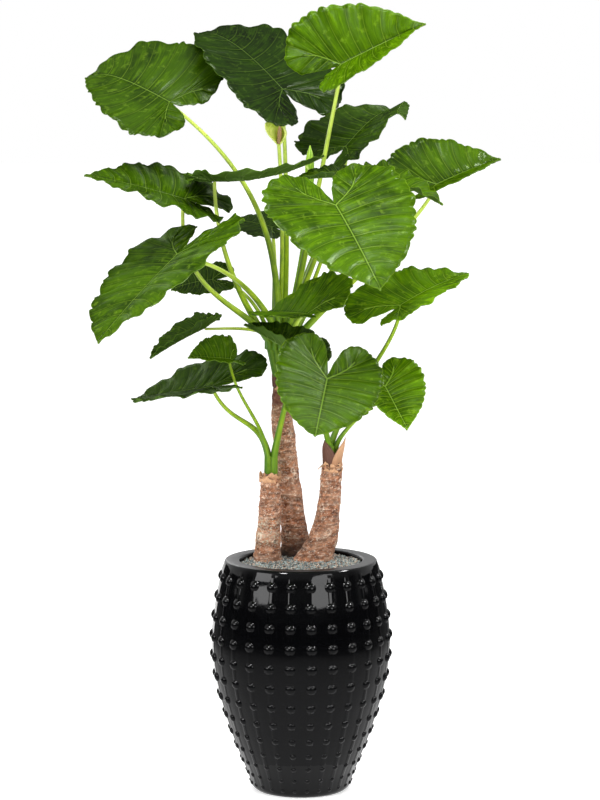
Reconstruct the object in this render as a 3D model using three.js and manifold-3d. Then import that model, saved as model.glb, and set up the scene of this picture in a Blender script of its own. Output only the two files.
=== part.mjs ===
import * as THREE from "three";
import Module from "manifold-3d";

// Potted elephant-ear plant: three woody stems in a studded black pot, with leaves on long stalks.
// Sizes are in millimetres, +Z is up, the front is -Y, and the origin is the middle of the pot's foot.

const POT_HEIGHT = 560;
const POT_BELLY_RADIUS = 214.5;
const RIM_OUTER_RADIUS = 179;
const RIM_INNER_RADIUS = 150;
const RIM_BEVEL = 4;
const POT_WALL = 14;
const POT_FLOOR = 25;
const FLOOR_RADIUS = 96;

const STUD_COLUMNS = 26;
const STUD_ROWS = [522, 474, 426, 378, 329, 281, 233, 188, 147, 109, 74, 43, 17];
const STUD_TOP_RADIUS = 12.2;
const STUD_FOOT_RADIUS = 5.2;
const STUD_HEIGHT = 6.5;
const STUD_FOOT_HEIGHT = 4;
const STUD_FULL_SIZE_FROM = 277;
const ROUND_STUD_ROWS = 3;

const SOIL_TOP = 535;
const GRAVEL_TOP = 548;
const GRAVEL_MOUND = 4;
const GRAVEL_BUMP = 1.3;
const GRAVEL_SIDES = 28;
const GRAVEL_RINGS = 4;
const FIT_GAP = 0.4;

const STEM_FOOT = 475;
const STEM_SIDES = 10;
const RING_PITCH = 30;
const RING_DEPTH = 1.6;

const BLADE_THICKNESS = 2.2;
const KEEL_DEPTH = 3.2;
const STALK_SIDES = 6;
const STALK_STEPS = 6;
const STALK_ROOT_RADIUS = 6.2;
const STALK_TOP_RADIUS = 4.2;
const STALK_TIP_RADIUS = 2;
const STALK_SINK = 5.5;
const SOCKET_DEPTH = 26;
const STALK_COLLAR = 5;

const wasm = await Module();
wasm.setup();
const { Manifold, Mesh } = wasm;

const rad = (degrees) => (degrees * Math.PI) / 180;
const lerp = (a, b, t) => a + (b - a) * t;
const clamp = (t) => Math.min(1, Math.max(0, t));

// Reads a list of height and size pairs, with straight lines between them.
function along(list, z) {
  if (z <= list[0][0]) return list[0][1];
  for (let i = 1; i < list.length; i += 1) {
    const [z0, r0] = list[i - 1];
    const [z1, r1] = list[i];
    if (z <= z1) return lerp(r0, r1, (z - z0) / (z1 - z0));
  }
  return list[list.length - 1][1];
}

// A closed mesh from vertices and faces. Faces with a repeated corner are dropped.
class Shell {
  constructor() {
    this.points = [];
    this.faces = [];
  }

  point(x, y, z) {
    this.points.push([x, y, z]);
    return this.points.length - 1;
  }

  // A level ring, anticlockwise from above; the radii along X and Y may differ.
  ring(x, y, z, a, b, sides) {
    const ring = [];
    for (let i = 0; i < sides; i += 1) {
      const t = (i * 2 * Math.PI) / sides;
      ring.push(this.point(x + a * Math.cos(t), y + b * Math.sin(t), z));
    }
    return ring;
  }

  face(a, b, c) {
    if (a !== b && b !== c && a !== c) this.faces.push([a, b, c]);
  }

  quad(a, b, c, d) {
    this.face(a, b, c);
    this.face(a, c, d);
  }

  // Joins two rings of equal length; the second ring lies above the first.
  band(low, high) {
    const n = low.length;
    for (let i = 0; i < n; i += 1) {
      const j = (i + 1) % n;
      this.quad(low[i], low[j], high[j], high[i]);
    }
  }

  cap(ring, centre, up) {
    const n = ring.length;
    for (let i = 0; i < n; i += 1) {
      const j = (i + 1) % n;
      if (up) this.face(ring[i], ring[j], centre);
      else this.face(ring[j], ring[i], centre);
    }
  }

  // Fills the space between two loops that run anticlockwise, one inside the other.
  collar(outer, inner) {
    const next = (loop, k) => loop[(k + 1) % loop.length];
    let i = 0;
    let j = 0;
    while (i < outer.length || j < inner.length) {
      const o = outer[i % outer.length];
      const n = inner[j % inner.length];
      const behind = i < outer.length && i / outer.length <= j / inner.length;
      if (j === inner.length || behind) {
        this.face(o, next(outer, i), n);
        i += 1;
      } else {
        this.face(o, next(inner, j), n);
        j += 1;
      }
    }
  }

  solid() {
    const mesh = new Mesh({
      numProp: 3,
      vertProperties: new Float32Array(this.points.flat()),
      triVerts: new Uint32Array(this.faces.flat()),
    });
    mesh.merge();
    return new Manifold(mesh);
  }
}

function meshOf(name, solid, finish) {
  const m = solid.getMesh();
  const corners = new Float32Array(m.triVerts.length * 3);
  m.triVerts.forEach((v, i) => {
    for (let k = 0; k < 3; k += 1) corners[i * 3 + k] = m.vertProperties[v * m.numProp + k];
  });
  const geometry = new THREE.BufferGeometry();
  geometry.setAttribute("position", new THREE.BufferAttribute(corners, 3));
  geometry.computeVertexNormals();
  const mesh = new THREE.Mesh(geometry, new THREE.MeshStandardMaterial(finish));
  mesh.name = name;
  return mesh;
}

// Pot: a full belly, a narrow foot, a flat rim, and rows of round studs in columns.

const POT_OUTSIDE = [
  [0, 110],
  [6, 117],
  [17, 121],
  [43, 130],
  [74, 143],
  [109, 157],
  [147, 171],
  [188, 184],
  [233, 197],
  [281, 207],
  [329, 213],
  [365, POT_BELLY_RADIUS],
  [400, 212.5],
  [426, 209.5],
  [474, 202],
  [522, 192],
  [546, 187],
  [555, 184],
];
const POT_SIDES = STUD_COLUMNS * 2;
const INNER_NECK_FROM = 550;
const INNER_NECK_SLOPE = 0.9;
const INSIDE_LEVELS = [505, 400, 220, 45];

function potInnerRadius(z) {
  const open = RIM_INNER_RADIUS - RIM_BEVEL;
  const wall = along(POT_OUTSIDE, z) - POT_WALL;
  const neck = open + (INNER_NECK_FROM - z) * INNER_NECK_SLOPE;
  return Math.min(wall, Math.max(open, neck));
}

function potRing(shell, r, z) {
  return shell.ring(0, 0, z, r, r, POT_SIDES);
}

// One stud on its patch of wall, which runs between the ring of points below it and the one above.
function studCell(shell, column, row, low, high) {
  const z = STUD_ROWS[row];
  const middle = (column * 2 * Math.PI) / STUD_COLUMNS;
  const wall = along(POT_OUTSIDE, z);
  const grown = clamp((z - STUD_ROWS[STUD_ROWS.length - 1]) / STUD_FULL_SIZE_FROM);
  const size = lerp(STUD_FOOT_RADIUS, STUD_TOP_RADIUS, grown);
  const round = row < ROUND_STUD_ROWS;
  const corners = round ? 6 : 4;
  const start = rad(round ? -90 : -135);
  const base = [];
  for (let k = 0; k < corners; k += 1) {
    const turn = start + (k * 2 * Math.PI) / corners;
    const up = z + size * Math.sin(turn);
    const angle = middle + (size * Math.cos(turn)) / wall;
    const r = along(POT_OUTSIDE, up);
    base.push(shell.point(r * Math.cos(angle), r * Math.sin(angle), up));
  }
  const crest = wall + lerp(STUD_FOOT_HEIGHT, STUD_HEIGHT, grown);
  shell.cap(base, shell.point(crest * Math.cos(middle), crest * Math.sin(middle), z), true);
  const i = column * 2;
  const before = (i + POT_SIDES - 1) % POT_SIDES;
  shell.collar([low[i], low[i + 1], high[i + 1], high[i], high[before], low[before]], base);
}

function potSolid() {
  const shell = new Shell();
  const levels = [6];
  for (let k = STUD_ROWS.length - 1; k > 0; k -= 1) {
    levels.push((STUD_ROWS[k] + STUD_ROWS[k - 1]) / 2);
  }
  levels.push(546);
  const rings = levels.map((z) => potRing(shell, along(POT_OUTSIDE, z), z));
  for (let row = 0; row < STUD_ROWS.length; row += 1) {
    const level = STUD_ROWS.length - 1 - row;
    for (let column = 0; column < STUD_COLUMNS; column += 1) {
      studCell(shell, column, row, rings[level], rings[level + 1]);
    }
  }
  const foot = potRing(shell, along(POT_OUTSIDE, 0), 0);
  shell.band(foot, rings[0]);
  shell.cap(foot, shell.point(0, 0, 0), false);
  const rim = [
    [along(POT_OUTSIDE, 555), 555],
    [RIM_OUTER_RADIUS, POT_HEIGHT],
    [RIM_INNER_RADIUS, POT_HEIGHT],
    [RIM_INNER_RADIUS - RIM_BEVEL, POT_HEIGHT - 6],
  ];
  const inside = INSIDE_LEVELS.map((z) => [potInnerRadius(z), z]);
  let last = rings[rings.length - 1];
  for (const [r, z] of [...rim, ...inside, [FLOOR_RADIUS, POT_FLOOR]]) {
    const ring = potRing(shell, r, z);
    shell.band(last, ring);
    last = ring;
  }
  shell.cap(last, shell.point(0, 0, POT_FLOOR), true);
  return shell.solid();
}

// Stems: leaning and tapering, with rings of leaf scars.

// Each level gives height, middle x, middle y, half width and half depth.
const STEMS = {
  left: [
    [560, -80, 35, 34, 32],
    [578, -80, 35, 31, 30],
    [620, -77, 35, 29.5, 28],
    [660, -75, 35, 28, 27],
    [700, -73, 35, 25, 24],
    [735, -74, 35, 21.5, 21],
    [762, -74, 35, 18, 18],
  ],
  middle: [
    [560, -14, 106, 36, 33],
    [600, -14, 104, 33, 31],
    [640, -18, 101, 30.5, 29],
    [700, -25, 96, 28, 27],
    [765, -32, 91, 26, 25.5],
    [815, -38, 87, 25.5, 25],
    [860, -43, 82, 27, 26],
    [905, -48, 78, 25, 25],
    [935, -51, 75, 17.5, 17.5],
    [966, -50, 73, 17, 17],
  ],
  right: [
    [560, 32, 28, 47, 39],
    [575, 40, 29, 43, 37],
    [600, 50, 30, 38, 35],
    [640, 61, 30, 32, 31],
    [680, 67, 30, 27.5, 27],
    [730, 71, 30, 25.5, 25],
    [765, 74, 30, 24.5, 24],
    [788, 76, 30, 21, 21],
  ],
};

function stemRing(shell, levels, z, grow) {
  const [x, y, a, b] = [1, 2, 3, 4].map((k) => along(levels.map((row) => [row[0], row[k]]), z));
  return shell.ring(x, y, z, a + grow, b + grow, STEM_SIDES);
}

// Leaf scars ring the stem: every other level stands out a little.
function stemSolid(levels) {
  const shell = new Shell();
  const [foot, footX, footY] = levels[0];
  const [top, topX, topY] = levels[levels.length - 1];
  let last = stemRing(shell, levels, STEM_FOOT, 0);
  shell.cap(last, shell.point(footX, footY, STEM_FOOT), false);
  const count = Math.round((top - foot) / (RING_PITCH / 2));
  for (let k = 0; k <= count; k += 1) {
    const z = lerp(foot, top, k / count);
    const edge = k === 0 || k === count;
    const swell = k % 2 ? RING_DEPTH : -RING_DEPTH;
    const ring = stemRing(shell, levels, z, edge ? 0 : swell);
    shell.band(last, ring);
    last = ring;
  }
  shell.cap(last, shell.point(topX, topY, top), true);
  return shell.solid();
}

// The plain hole that a stem stands in, in soil and gravel.
function stemHole(levels) {
  const shell = new Shell();
  const [, x, y, a, b] = levels[0];
  const low = STEM_FOOT - FIT_GAP;
  const high = POT_HEIGHT + 20;
  const rings = [low, high].map((z) => shell.ring(x, y, z, a + FIT_GAP, b + FIT_GAP, STEM_SIDES));
  shell.cap(rings[0], shell.point(x, y, low), false);
  shell.band(rings[0], rings[1]);
  shell.cap(rings[1], shell.point(x, y, high), true);
  return shell.solid();
}

// Filling: soil up to a little below the rim, and a layer of fine gravel on it.

function soilSolid(holes) {
  const shell = new Shell();
  const levels = [[FLOOR_RADIUS, POT_FLOOR + FIT_GAP]];
  for (const z of [...INSIDE_LEVELS].reverse()) levels.push([potInnerRadius(z), z]);
  levels.push([potInnerRadius(SOIL_TOP), SOIL_TOP]);
  let last = null;
  for (const [room, z] of levels) {
    const r = room - 2 * FIT_GAP;
    const ring = shell.ring(0, 0, z, r, r, STUD_COLUMNS);
    if (last) shell.band(last, ring);
    else shell.cap(ring, shell.point(0, 0, z), false);
    last = ring;
  }
  shell.cap(last, shell.point(0, 0, SOIL_TOP), true);
  return holes.reduce((solid, hole) => solid.subtract(hole), shell.solid());
}

function gravelHeight(x, y) {
  const bumps = Math.sin(x * 0.31 + 1.3) * Math.cos(y * 0.29) + Math.sin((x + y) * 0.23 + 0.4);
  const mound = GRAVEL_MOUND * Math.cos(Math.hypot(x - 30, y + 30) / 110);
  return GRAVEL_TOP + mound + GRAVEL_BUMP * bumps;
}

function gravelSolid(holes) {
  const shell = new Shell();
  const outer = RIM_INNER_RADIUS - RIM_BEVEL - FIT_GAP;
  const foot = SOIL_TOP + FIT_GAP;
  let last = shell.ring(0, 0, foot, outer, outer, GRAVEL_SIDES);
  shell.cap(last, shell.point(0, 0, foot), false);
  for (let k = GRAVEL_RINGS; k >= 1; k -= 1) {
    const r = (outer * k) / GRAVEL_RINGS;
    const ring = shell.ring(0, 0, foot, r, r, GRAVEL_SIDES);
    for (const i of ring) {
      const [x, y] = shell.points[i];
      shell.points[i][2] = gravelHeight(x, y);
    }
    shell.band(last, ring);
    last = ring;
  }
  shell.cap(last, shell.point(0, 0, gravelHeight(0, 0)), true);
  return holes.reduce((solid, hole) => solid.subtract(hole), shell.solid());
}

// Leaf blades: heart shaped, with two lobes behind the stalk, ribs under them and waved edges.

// Side veins of a flat half blade one unit long: where each leaves its rib and where it meets the edge.
const VEINS = [
  [1.0, 0.0, 1.0, 0.0],
  [0.86, 0.0, 0.91, 0.055],
  [0.7, 0.0, 0.78, 0.19],
  [0.54, 0.0, 0.64, 0.33],
  [0.39, 0.0, 0.48, 0.455],
  [0.25, 0.0, 0.31, 0.555],
  [0.12, 0.0, 0.12, 0.62],
  [0.0, 0.0, -0.09, 0.64],
  [-0.09, 0.11, -0.28, 0.59],
  [-0.19, 0.21, -0.43, 0.47],
  [-0.3, 0.27, -0.52, 0.3],
  [-0.19, 0.21, -0.47, 0.14],
  [-0.09, 0.11, -0.3, 0.06],
  [0.0, 0.0, -0.07, 0.0],
];
// Where the first veins meet the edge in a blade with a blunt tip.
const BLUNT_EDGE = [
  [1.0, 0.0],
  [0.96, 0.12],
  [0.86, 0.28],
  [0.73, 0.42],
  [0.57, 0.53],
  [0.38, 0.605],
  [0.17, 0.64],
  [-0.07, 0.645],
];
const LAST_VEIN = VEINS.length - 1;
const RIB_COLUMNS = 2;
const BEND_STEPS = 24;
const FAR_SIDE_PHASE = 1.3;
const SIDE_BACK_FROM = 0.06;

// Directions of the blade: m to the tip, n out of the top face, w across.
function bladeAxes(leaf) {
  const h = rad(leaf.heading);
  const t = rad(leaf.toward);
  const r = rad(leaf.roll);
  const m = new THREE.Vector3(Math.cos(t) * Math.cos(h), -Math.sin(t), Math.cos(t) * Math.sin(h));
  const front = new THREE.Vector3(0, -1, 0);
  const facing = front.clone().addScaledVector(m, -front.dot(m)).normalize();
  const n = facing.clone().multiplyScalar(Math.cos(r));
  n.addScaledVector(new THREE.Vector3().crossVectors(m, facing), Math.sin(r));
  const w = new THREE.Vector3().crossVectors(n, m);
  return { m, n, w };
}

function bendAngle(leaf, x) {
  if (x < 0) return rad(leaf.lobes) * x;
  return rad(leaf.bend) * x + rad(leaf.hook) * x ** 3;
}

// Follows the bent midrib for the length x: how far it has gone ahead, and how far it has dropped.
function bendTravel(leaf, x) {
  let ahead = 0;
  let drop = 0;
  for (let k = 0; k < BEND_STEPS; k += 1) {
    const a = bendAngle(leaf, (x * (k + 0.5)) / BEND_STEPS);
    ahead += (Math.cos(a) * x) / BEND_STEPS;
    drop += (Math.sin(a) * x) / BEND_STEPS;
  }
  return [ahead, drop];
}

// How far the lobe of a side goes back; both sides agree at the midrib.
function backAt(leaf, y, side) {
  const [left, right] = leaf.back;
  const own = side > 0 ? left : right;
  return lerp((left + right) / 2, own, Math.min(1, y / SIDE_BACK_FROM));
}

// The edge end of a vein, between the pointed and the blunt outline.
function veinEnd(leaf, side, vein) {
  const [, , x, y] = VEINS[vein];
  if (vein >= BLUNT_EDGE.length) return [x, y];
  const [bluntX, bluntY] = BLUNT_EDGE[vein];
  const blunt = leaf.blunt[side > 0 ? 0 : 1];
  return [lerp(x, bluntX, blunt), lerp(y, bluntY, blunt)];
}

// A point of the blade: x runs to the tip, y is the distance from the midrib, vein counts round the half.
function bladePoint(leaf, x, y, reach, vein, side) {
  const { m, n, w } = leaf.axes;
  const fold = rad(leaf.fold[side > 0 ? 0 : 1]);
  const px = x < 0 ? x * backAt(leaf, y, side) : x;
  const across = y * leaf.width;
  const [ahead, drop] = bendTravel(leaf, px);
  const slope = bendAngle(leaf, px);
  const edge = Math.sqrt(Math.max(0, Math.sin((Math.PI * vein) / LAST_VEIN)));
  const phase = side < 0 ? FAR_SIDE_PHASE : 0;
  const wave = leaf.ruffle * reach ** 2 * edge * Math.cos(Math.PI * vein + phase);
  const rise = across * Math.sin(fold) + wave;
  const p = new THREE.Vector3(...leaf.at);
  p.addScaledVector(m, leaf.length * (ahead + rise * Math.sin(slope)));
  p.addScaledVector(n, leaf.length * (rise * Math.cos(slope) - drop));
  p.addScaledVector(w, leaf.length * side * across * Math.cos(fold));
  return p;
}

// The blade as one sheet: points shared along the ribs, and the depth of the rib under each point.
function bladeSheet(leaf) {
  const points = [];
  const depth = [];
  const faces = [];
  const known = new Map();
  function corner(side, vein, column) {
    const [ox, oy] = VEINS[vein];
    const [ex, ey] = veinEnd(leaf, side, vein);
    const reach = column / RIB_COLUMNS;
    const x = lerp(ox, ex, reach);
    const y = lerp(oy, ey, reach);
    const key = `${x.toFixed(4)},${(side * y).toFixed(4)}`;
    if (!known.has(key)) {
      known.set(key, points.length);
      points.push(bladePoint(leaf, x, y, reach, vein, side));
      depth.push(column === 0 ? KEEL_DEPTH * (1 - 0.7 * Math.abs(x)) : 0);
    }
    return known.get(key);
  }
  for (const side of [1, -1]) {
    for (let v = 0; v < LAST_VEIN; v += 1) {
      for (let c = 0; c < RIB_COLUMNS; c += 1) {
        const quad = [corner(side, v, c), corner(side, v, c + 1)];
        quad.push(corner(side, v + 1, c + 1), corner(side, v + 1, c));
        if (side < 0) quad.reverse();
        if (v % 2) quad.push(quad.shift());
        const [a, b, d, e] = quad;
        for (const face of [[a, b, d], [a, d, e]]) {
          if (new Set(face).size === 3) faces.push(face);
        }
      }
    }
  }
  return { points, faces, depth };
}

// Gives the sheet its thickness, with the same triangles on both faces.
function bladeSolid(leaf) {
  const { points, faces, depth } = bladeSheet(leaf);
  const normals = points.map(() => new THREE.Vector3());
  for (const [a, b, c] of faces) {
    const ab = points[b].clone().sub(points[a]);
    const ac = points[c].clone().sub(points[a]);
    const normal = ab.cross(ac);
    for (const k of [a, b, c]) normals[k].add(normal);
  }
  normals.forEach((normal) => normal.normalize());
  const shell = new Shell();
  const half = BLADE_THICKNESS / 2;
  const shifted = (k, by) => shell.point(...points[k].clone().addScaledVector(normals[k], by));
  const top = points.map((p, k) => shifted(k, half));
  const bottom = points.map((p, k) => shifted(k, -half - depth[k]));
  const edges = new Map();
  for (const [a, b, c] of faces) {
    shell.face(top[a], top[b], top[c]);
    shell.face(bottom[a], bottom[c], bottom[b]);
    for (const [i, j] of [[a, b], [b, c], [c, a]]) {
      if (!edges.delete(`${j},${i}`)) edges.set(`${i},${j}`, [i, j]);
    }
  }
  for (const [i, j] of edges.values()) shell.quad(top[j], top[i], bottom[i], bottom[j]);
  return shell.solid();
}

// Leaf stalks: each stands in a socket of its crown and curves out to its blade.

function bezier(p0, p1, p2, p3, t) {
  const s = 1 - t;
  const p = p0.clone().multiplyScalar(s ** 3);
  p.addScaledVector(p1, 3 * s * s * t);
  p.addScaledVector(p2, 3 * s * t * t);
  return p.addScaledVector(p3, t ** 3);
}

// Stacks rings along a path, each turned as little as can be from the one before.
function tubeSolid(path, radii) {
  const shell = new Shell();
  let across = new THREE.Vector3(1, 0, 0);
  let last = null;
  path.forEach((centre, k) => {
    const ahead = path[Math.min(k + 1, path.length - 1)];
    const behind = path[Math.max(k - 1, 0)];
    const run = ahead.clone().sub(behind).normalize();
    across = across.clone().addScaledVector(run, -across.dot(run)).normalize();
    const other = new THREE.Vector3().crossVectors(run, across);
    const ring = [];
    for (let i = 0; i < STALK_SIDES; i += 1) {
      const t = (i * 2 * Math.PI) / STALK_SIDES;
      const p = centre.clone();
      p.addScaledVector(across, radii[k] * Math.cos(t));
      p.addScaledVector(other, radii[k] * Math.sin(t));
      ring.push(shell.point(...p));
    }
    if (last) shell.band(last, ring);
    else shell.cap(ring, shell.point(...centre), false);
    last = ring;
  });
  shell.cap(last, shell.point(...path[path.length - 1]), true);
  return shell.solid();
}

// Crowns: the green sheathing feet of the stalks on top of each stem.
const CROWNS = {
  left: { x: -74, y: 35, low: 762, top: 795, radii: [17, 20], lobes: 6, steps: 2 },
  middle: { x: -46, y: 72, low: 966, top: 1075, radii: [17, 43], lobes: 10, steps: 4 },
  right: { x: 76, y: 30, low: 788, top: 822, radii: [21, 21], lobes: 6, steps: 2 },
};
const sockets = { left: [], middle: [], right: [] };

// Where a stalk comes out of its crown: ring is the distance from the crown's middle.
function socketPlace({ crown, ring, angle }) {
  const { x, y, top } = CROWNS[crown];
  return new THREE.Vector3(x + ring * Math.cos(rad(angle)), y + ring * Math.sin(rad(angle)), top);
}

function cutSocket(crown, root) {
  const radius = STALK_ROOT_RADIUS + FIT_GAP + 0.1;
  const low = root.clone().setZ(root.z - SOCKET_DEPTH - FIT_GAP);
  const high = root.clone().setZ(root.z + 40);
  sockets[crown].push(tubeSolid([low, high], [radius, radius]));
}

// The stalk's middle line from its socket to its end; near the blade it sinks below the top face.
function stalkPath(shoot, end, normal, sink) {
  const root = socketPlace(shoot);
  cutSocket(shoot.crown, root);
  const [p1, p2] = shoot.handles.map((p) => new THREE.Vector3(...p));
  const collar = root.clone().setZ(root.z + STALK_COLLAR);
  const path = [root.clone().setZ(root.z - SOCKET_DEPTH), collar];
  for (let k = 1; k <= STALK_STEPS; k += 1) {
    const t = k / STALK_STEPS;
    path.push(bezier(collar, p1, p2, end, t).addScaledVector(normal, -sink * t ** 4));
  }
  return path;
}

function stalkRadii(path, topRadius) {
  const taper = (k) => Math.max(0, k - 1) / (path.length - 2);
  return path.map((p, k) => lerp(STALK_ROOT_RADIUS, topRadius, taper(k)));
}

function leafSolid(leaf) {
  leaf.axes = bladeAxes(leaf);
  const end = new THREE.Vector3(...leaf.at);
  const path = stalkPath(leaf, end, leaf.axes.n, STALK_SINK);
  const radii = stalkRadii(path, STALK_TOP_RADIUS);
  path.push(end);
  radii.push(STALK_TIP_RADIUS);
  return bladeSolid(leaf).add(tubeSolid(path, radii));
}

// Leaves. A blade's midrib starts at the point at, and its length runs from there to the tip.
// Heading turns it from +X up to +Z, toward tips it to the front, and roll turns it about itself.
// Bend and hook curve it down to the tip, lobes curves its back, and fold lifts each half.
const PLAIN_BLADE = { width: 1, back: [1, 1], hook: 0, lobes: 10, ruffle: 0.02, blunt: [0.5, 0.5] };
const LEAVES = {
  leaf_top_left: {
    crown: "middle", ring: 13.5, angle: 216, handles: [[-40, 85, 1360], [-147, 110, 1515]],
    at: [-315, 110, 1650], length: 278, width: 1.02, back: [0.6, 0.5], blunt: [0, 0.7],
    heading: 152, toward: -25, roll: 42, bend: 10, hook: 45, fold: [14, 8],
  },
  leaf_top_middle: {
    crown: "middle", ring: 32, angle: 90, handles: [[-28, 110, 1250], [-35, 150, 1535]],
    at: [-45, 160, 1680], length: 278, back: [0.75, 0.75], blunt: [1, 1],
    heading: 132, toward: -20, roll: 48, bend: 15, hook: 30, fold: [12, 2],
  },
  leaf_top_right: {
    crown: "middle", ring: 13.5, angle: 0, handles: [[10, 60, 1285], [60, 10, 1540]],
    at: [95, -30, 1740], length: 224, back: [1, 0.4], blunt: [0.2, 0.2],
    heading: 28, toward: 18, roll: -22, bend: 10, fold: [22, 52],
  },
  leaf_upper_dark: {
    crown: "middle", ring: 32, angle: 60, handles: [[5, 130, 1270], [108, 200, 1400]],
    at: [110, 230, 1540], length: 235, back: [0.5, 0.75], blunt: [0.3, 0.3],
    heading: 48, toward: -30, roll: -58, bend: 5, hook: 85, fold: [10, 18],
  },
  leaf_upper_right: {
    crown: "middle", ring: 32, angle: 0, handles: [[55, 62, 1170], [275, 60, 1345]],
    at: [325, 60, 1455], length: 205, width: 0.95, back: [1.1, 1.1], blunt: [0, 0],
    heading: 24, toward: -25, roll: -25, bend: 18, fold: [5, 62],
  },
  leaf_ruffled: {
    crown: "middle", ring: 32, angle: 30, handles: [[25, 80, 1205], [160, -25, 1355]],
    at: [205, -78, 1475], length: 150, width: 0.5, ruffle: 0.045,
    heading: -20, toward: 25, roll: -60, bend: 10, fold: [10, 40],
  },
  leaf_edge_on: {
    crown: "middle", ring: 32, angle: 180, handles: [[-150, 80, 1180], [-203, -40, 1320]],
    at: [-203, -40, 1470], length: 268, width: 0.7, back: [0.5, 0.5], ruffle: 0.015,
    heading: -2, toward: 0, roll: -101, bend: -30, fold: [8, 0],
  },
  leaf_front_middle: {
    crown: "middle", ring: 13.5, angle: 288, handles: [[0, 55, 1195], [75, -80, 1390]],
    at: [80, -220, 1420], length: 252, width: 1.12, back: [0.75, 0.85], ruffle: 0.015,
    heading: -58, toward: 38, roll: -36, bend: 10, fold: [12, 4],
  },
  leaf_long_left: {
    crown: "middle", ring: 32, angle: 210, handles: [[-145, 50, 1180], [-300, 0, 1190]],
    at: [-275, -40, 1425], length: 243, back: [0.7, 1], lobes: 25, blunt: [0.2, 0.2],
    heading: 162, toward: 10, roll: 75, bend: 8, fold: [8, 7],
  },
  leaf_front_left: {
    crown: "middle", ring: 32, angle: 270, handles: [[-98, 118, 1185], [-160, -120, 1275]],
    at: [-285, -195, 1305], length: 315, back: [0.78, 0.85], ruffle: 0.015,
    heading: 223, toward: 38, roll: 60, bend: 8, fold: [15, -8],
  },
  leaf_back_grey: {
    crown: "middle", ring: 32, angle: 120, handles: [[-65, 125, 1175], [-60, 190, 1265]],
    at: [-70, 200, 1345], length: 130,
    heading: 167, toward: -40, roll: 62, bend: 10, fold: [10, 5],
  },
  leaf_small_back_left: {
    crown: "middle", ring: 32, angle: 150, handles: [[-100, 110, 1175], [-165, 130, 1225]],
    at: [-215, 150, 1220], length: 105,
    heading: 185, toward: 0, roll: 65, bend: 20, fold: [0, 10],
  },
  leaf_narrow_left: {
    crown: "middle", ring: 32, angle: 240, handles: [[-85, 30, 1120], [-165, -10, 1115]],
    at: [-228, -30, 1122], length: 155, width: 0.72, back: [0.5, 0.5],
    heading: 203, toward: 20, roll: 85, bend: 10, fold: [22, 22],
  },
  leaf_small_left: {
    crown: "left", ring: 8.8, angle: 240, handles: [[-90, 0, 900], [-152, -152, 955]],
    at: [-165, -150, 1057], length: 105, back: [0.4, 0.4],
    heading: 170, toward: 25, roll: 60, bend: 10, fold: [30, 19],
  },
  leaf_low_left: {
    crown: "left", ring: 8.8, angle: 120, handles: [[-95, 30, 905], [-165, -50, 880]],
    at: [-210, -90, 985], length: 240, width: 0.9, blunt: [0.8, 0.8],
    heading: 191, toward: -36, roll: 68, bend: 5, fold: [24, 3],
  },
  leaf_low_middle: {
    crown: "left", ring: 8.8, angle: 0, handles: [[-50, 10, 890], [-25, -90, 980]],
    at: [-10, -120, 1067], length: 150, back: [0.85, 0.85],
    heading: 150, toward: -20, roll: 60, bend: 5, fold: [45, 7],
  },
  leaf_low_front: {
    crown: "right", ring: 8.8, angle: 240, handles: [[45, 0, 895], [55, -170, 965]],
    at: [60, -250, 1022], length: 155, width: 1.3, back: [1.2, 1.25], blunt: [0.6, 1.2],
    lobes: -30, ruffle: 0.015,
    heading: 257, toward: 40, roll: 0, bend: 5, fold: [5, 20],
  },
  leaf_small_right: {
    crown: "right", ring: 8.8, angle: 0, handles: [[95, 20, 870], [165, 0, 920]],
    at: [200, -40, 980], length: 125, width: 1.2, ruffle: 0.015,
    heading: -61, toward: 33, roll: -15, bend: 5, fold: [5, 45],
  },
  leaf_right_middle: {
    crown: "right", ring: 8.8, angle: 120, handles: [[110, 40, 965], [225, -30, 1065]],
    at: [235, -60, 1175], length: 222, width: 0.9, back: [1, 0.8],
    heading: 30, toward: -30, roll: -50, bend: 18, fold: [0, 32],
  },
  leaf_centre_left: {
    crown: "middle", ring: 32, angle: 300, handles: [[-10, 20, 1150], [15, -80, 1165]],
    at: [15, -143, 1162], length: 185, width: 1.1, back: [0.9, 1.1],
    heading: 182, toward: -58, roll: 48, bend: 5, fold: [45, 3],
  },
  leaf_centre_back: {
    crown: "middle", ring: 32, angle: 330, handles: [[15, 50, 1200], [85, -20, 1345]],
    at: [102, -60, 1480], length: 118, width: 0.75, back: [0.7, 0.7],
    heading: 178, toward: 15, roll: 80, bend: 10, fold: [25, 15],
  },
};

// Young leaf: still rolled, on a stalk of its own.
const SPEAR = {
  crown: "middle", ring: 13.5, angle: 72, handles: [[-10, 80, 1200], [12, 76, 1330]],
  foot: [20, 75, 1440],
};
const SPEAR_PROFILE = [[10, 8.5], [45, 11], [85, 8], [108, 1.5]];
const SPEAR_LEAN = 0.02;

// Flower: a spike in a hooded bract.
const FLOWER = {
  crown: "middle", ring: 13.5, angle: 144, handles: [[-42, 92, 1200], [-42, 95, 1400]],
  foot: [-53, 95, 1552],
};
const SPIKE_PROFILE = [[8, 6.5], [34, 6], [46, 2]];
const SPIKE_LEAN = -0.05;
const SHOOT_TOP_RADIUS = 4.5;
const HOOD_ROWS = 5;
const HOOD_COLUMNS = 6;
const HOOD_HEIGHT = 62;
const HOOD_WALL = 2.4;

// A stalk that ends in a body of its own, given by heights and radii above its foot.
function shootSolid(shoot, profile, lean) {
  const foot = new THREE.Vector3(...shoot.foot);
  const path = stalkPath(shoot, foot, new THREE.Vector3(), 0);
  const radii = stalkRadii(path, SHOOT_TOP_RADIUS);
  for (const [rise, r] of profile) {
    path.push(foot.clone().add(new THREE.Vector3(rise * lean, 0, rise)));
    radii.push(r);
  }
  return tubeSolid(path, radii);
}

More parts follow.
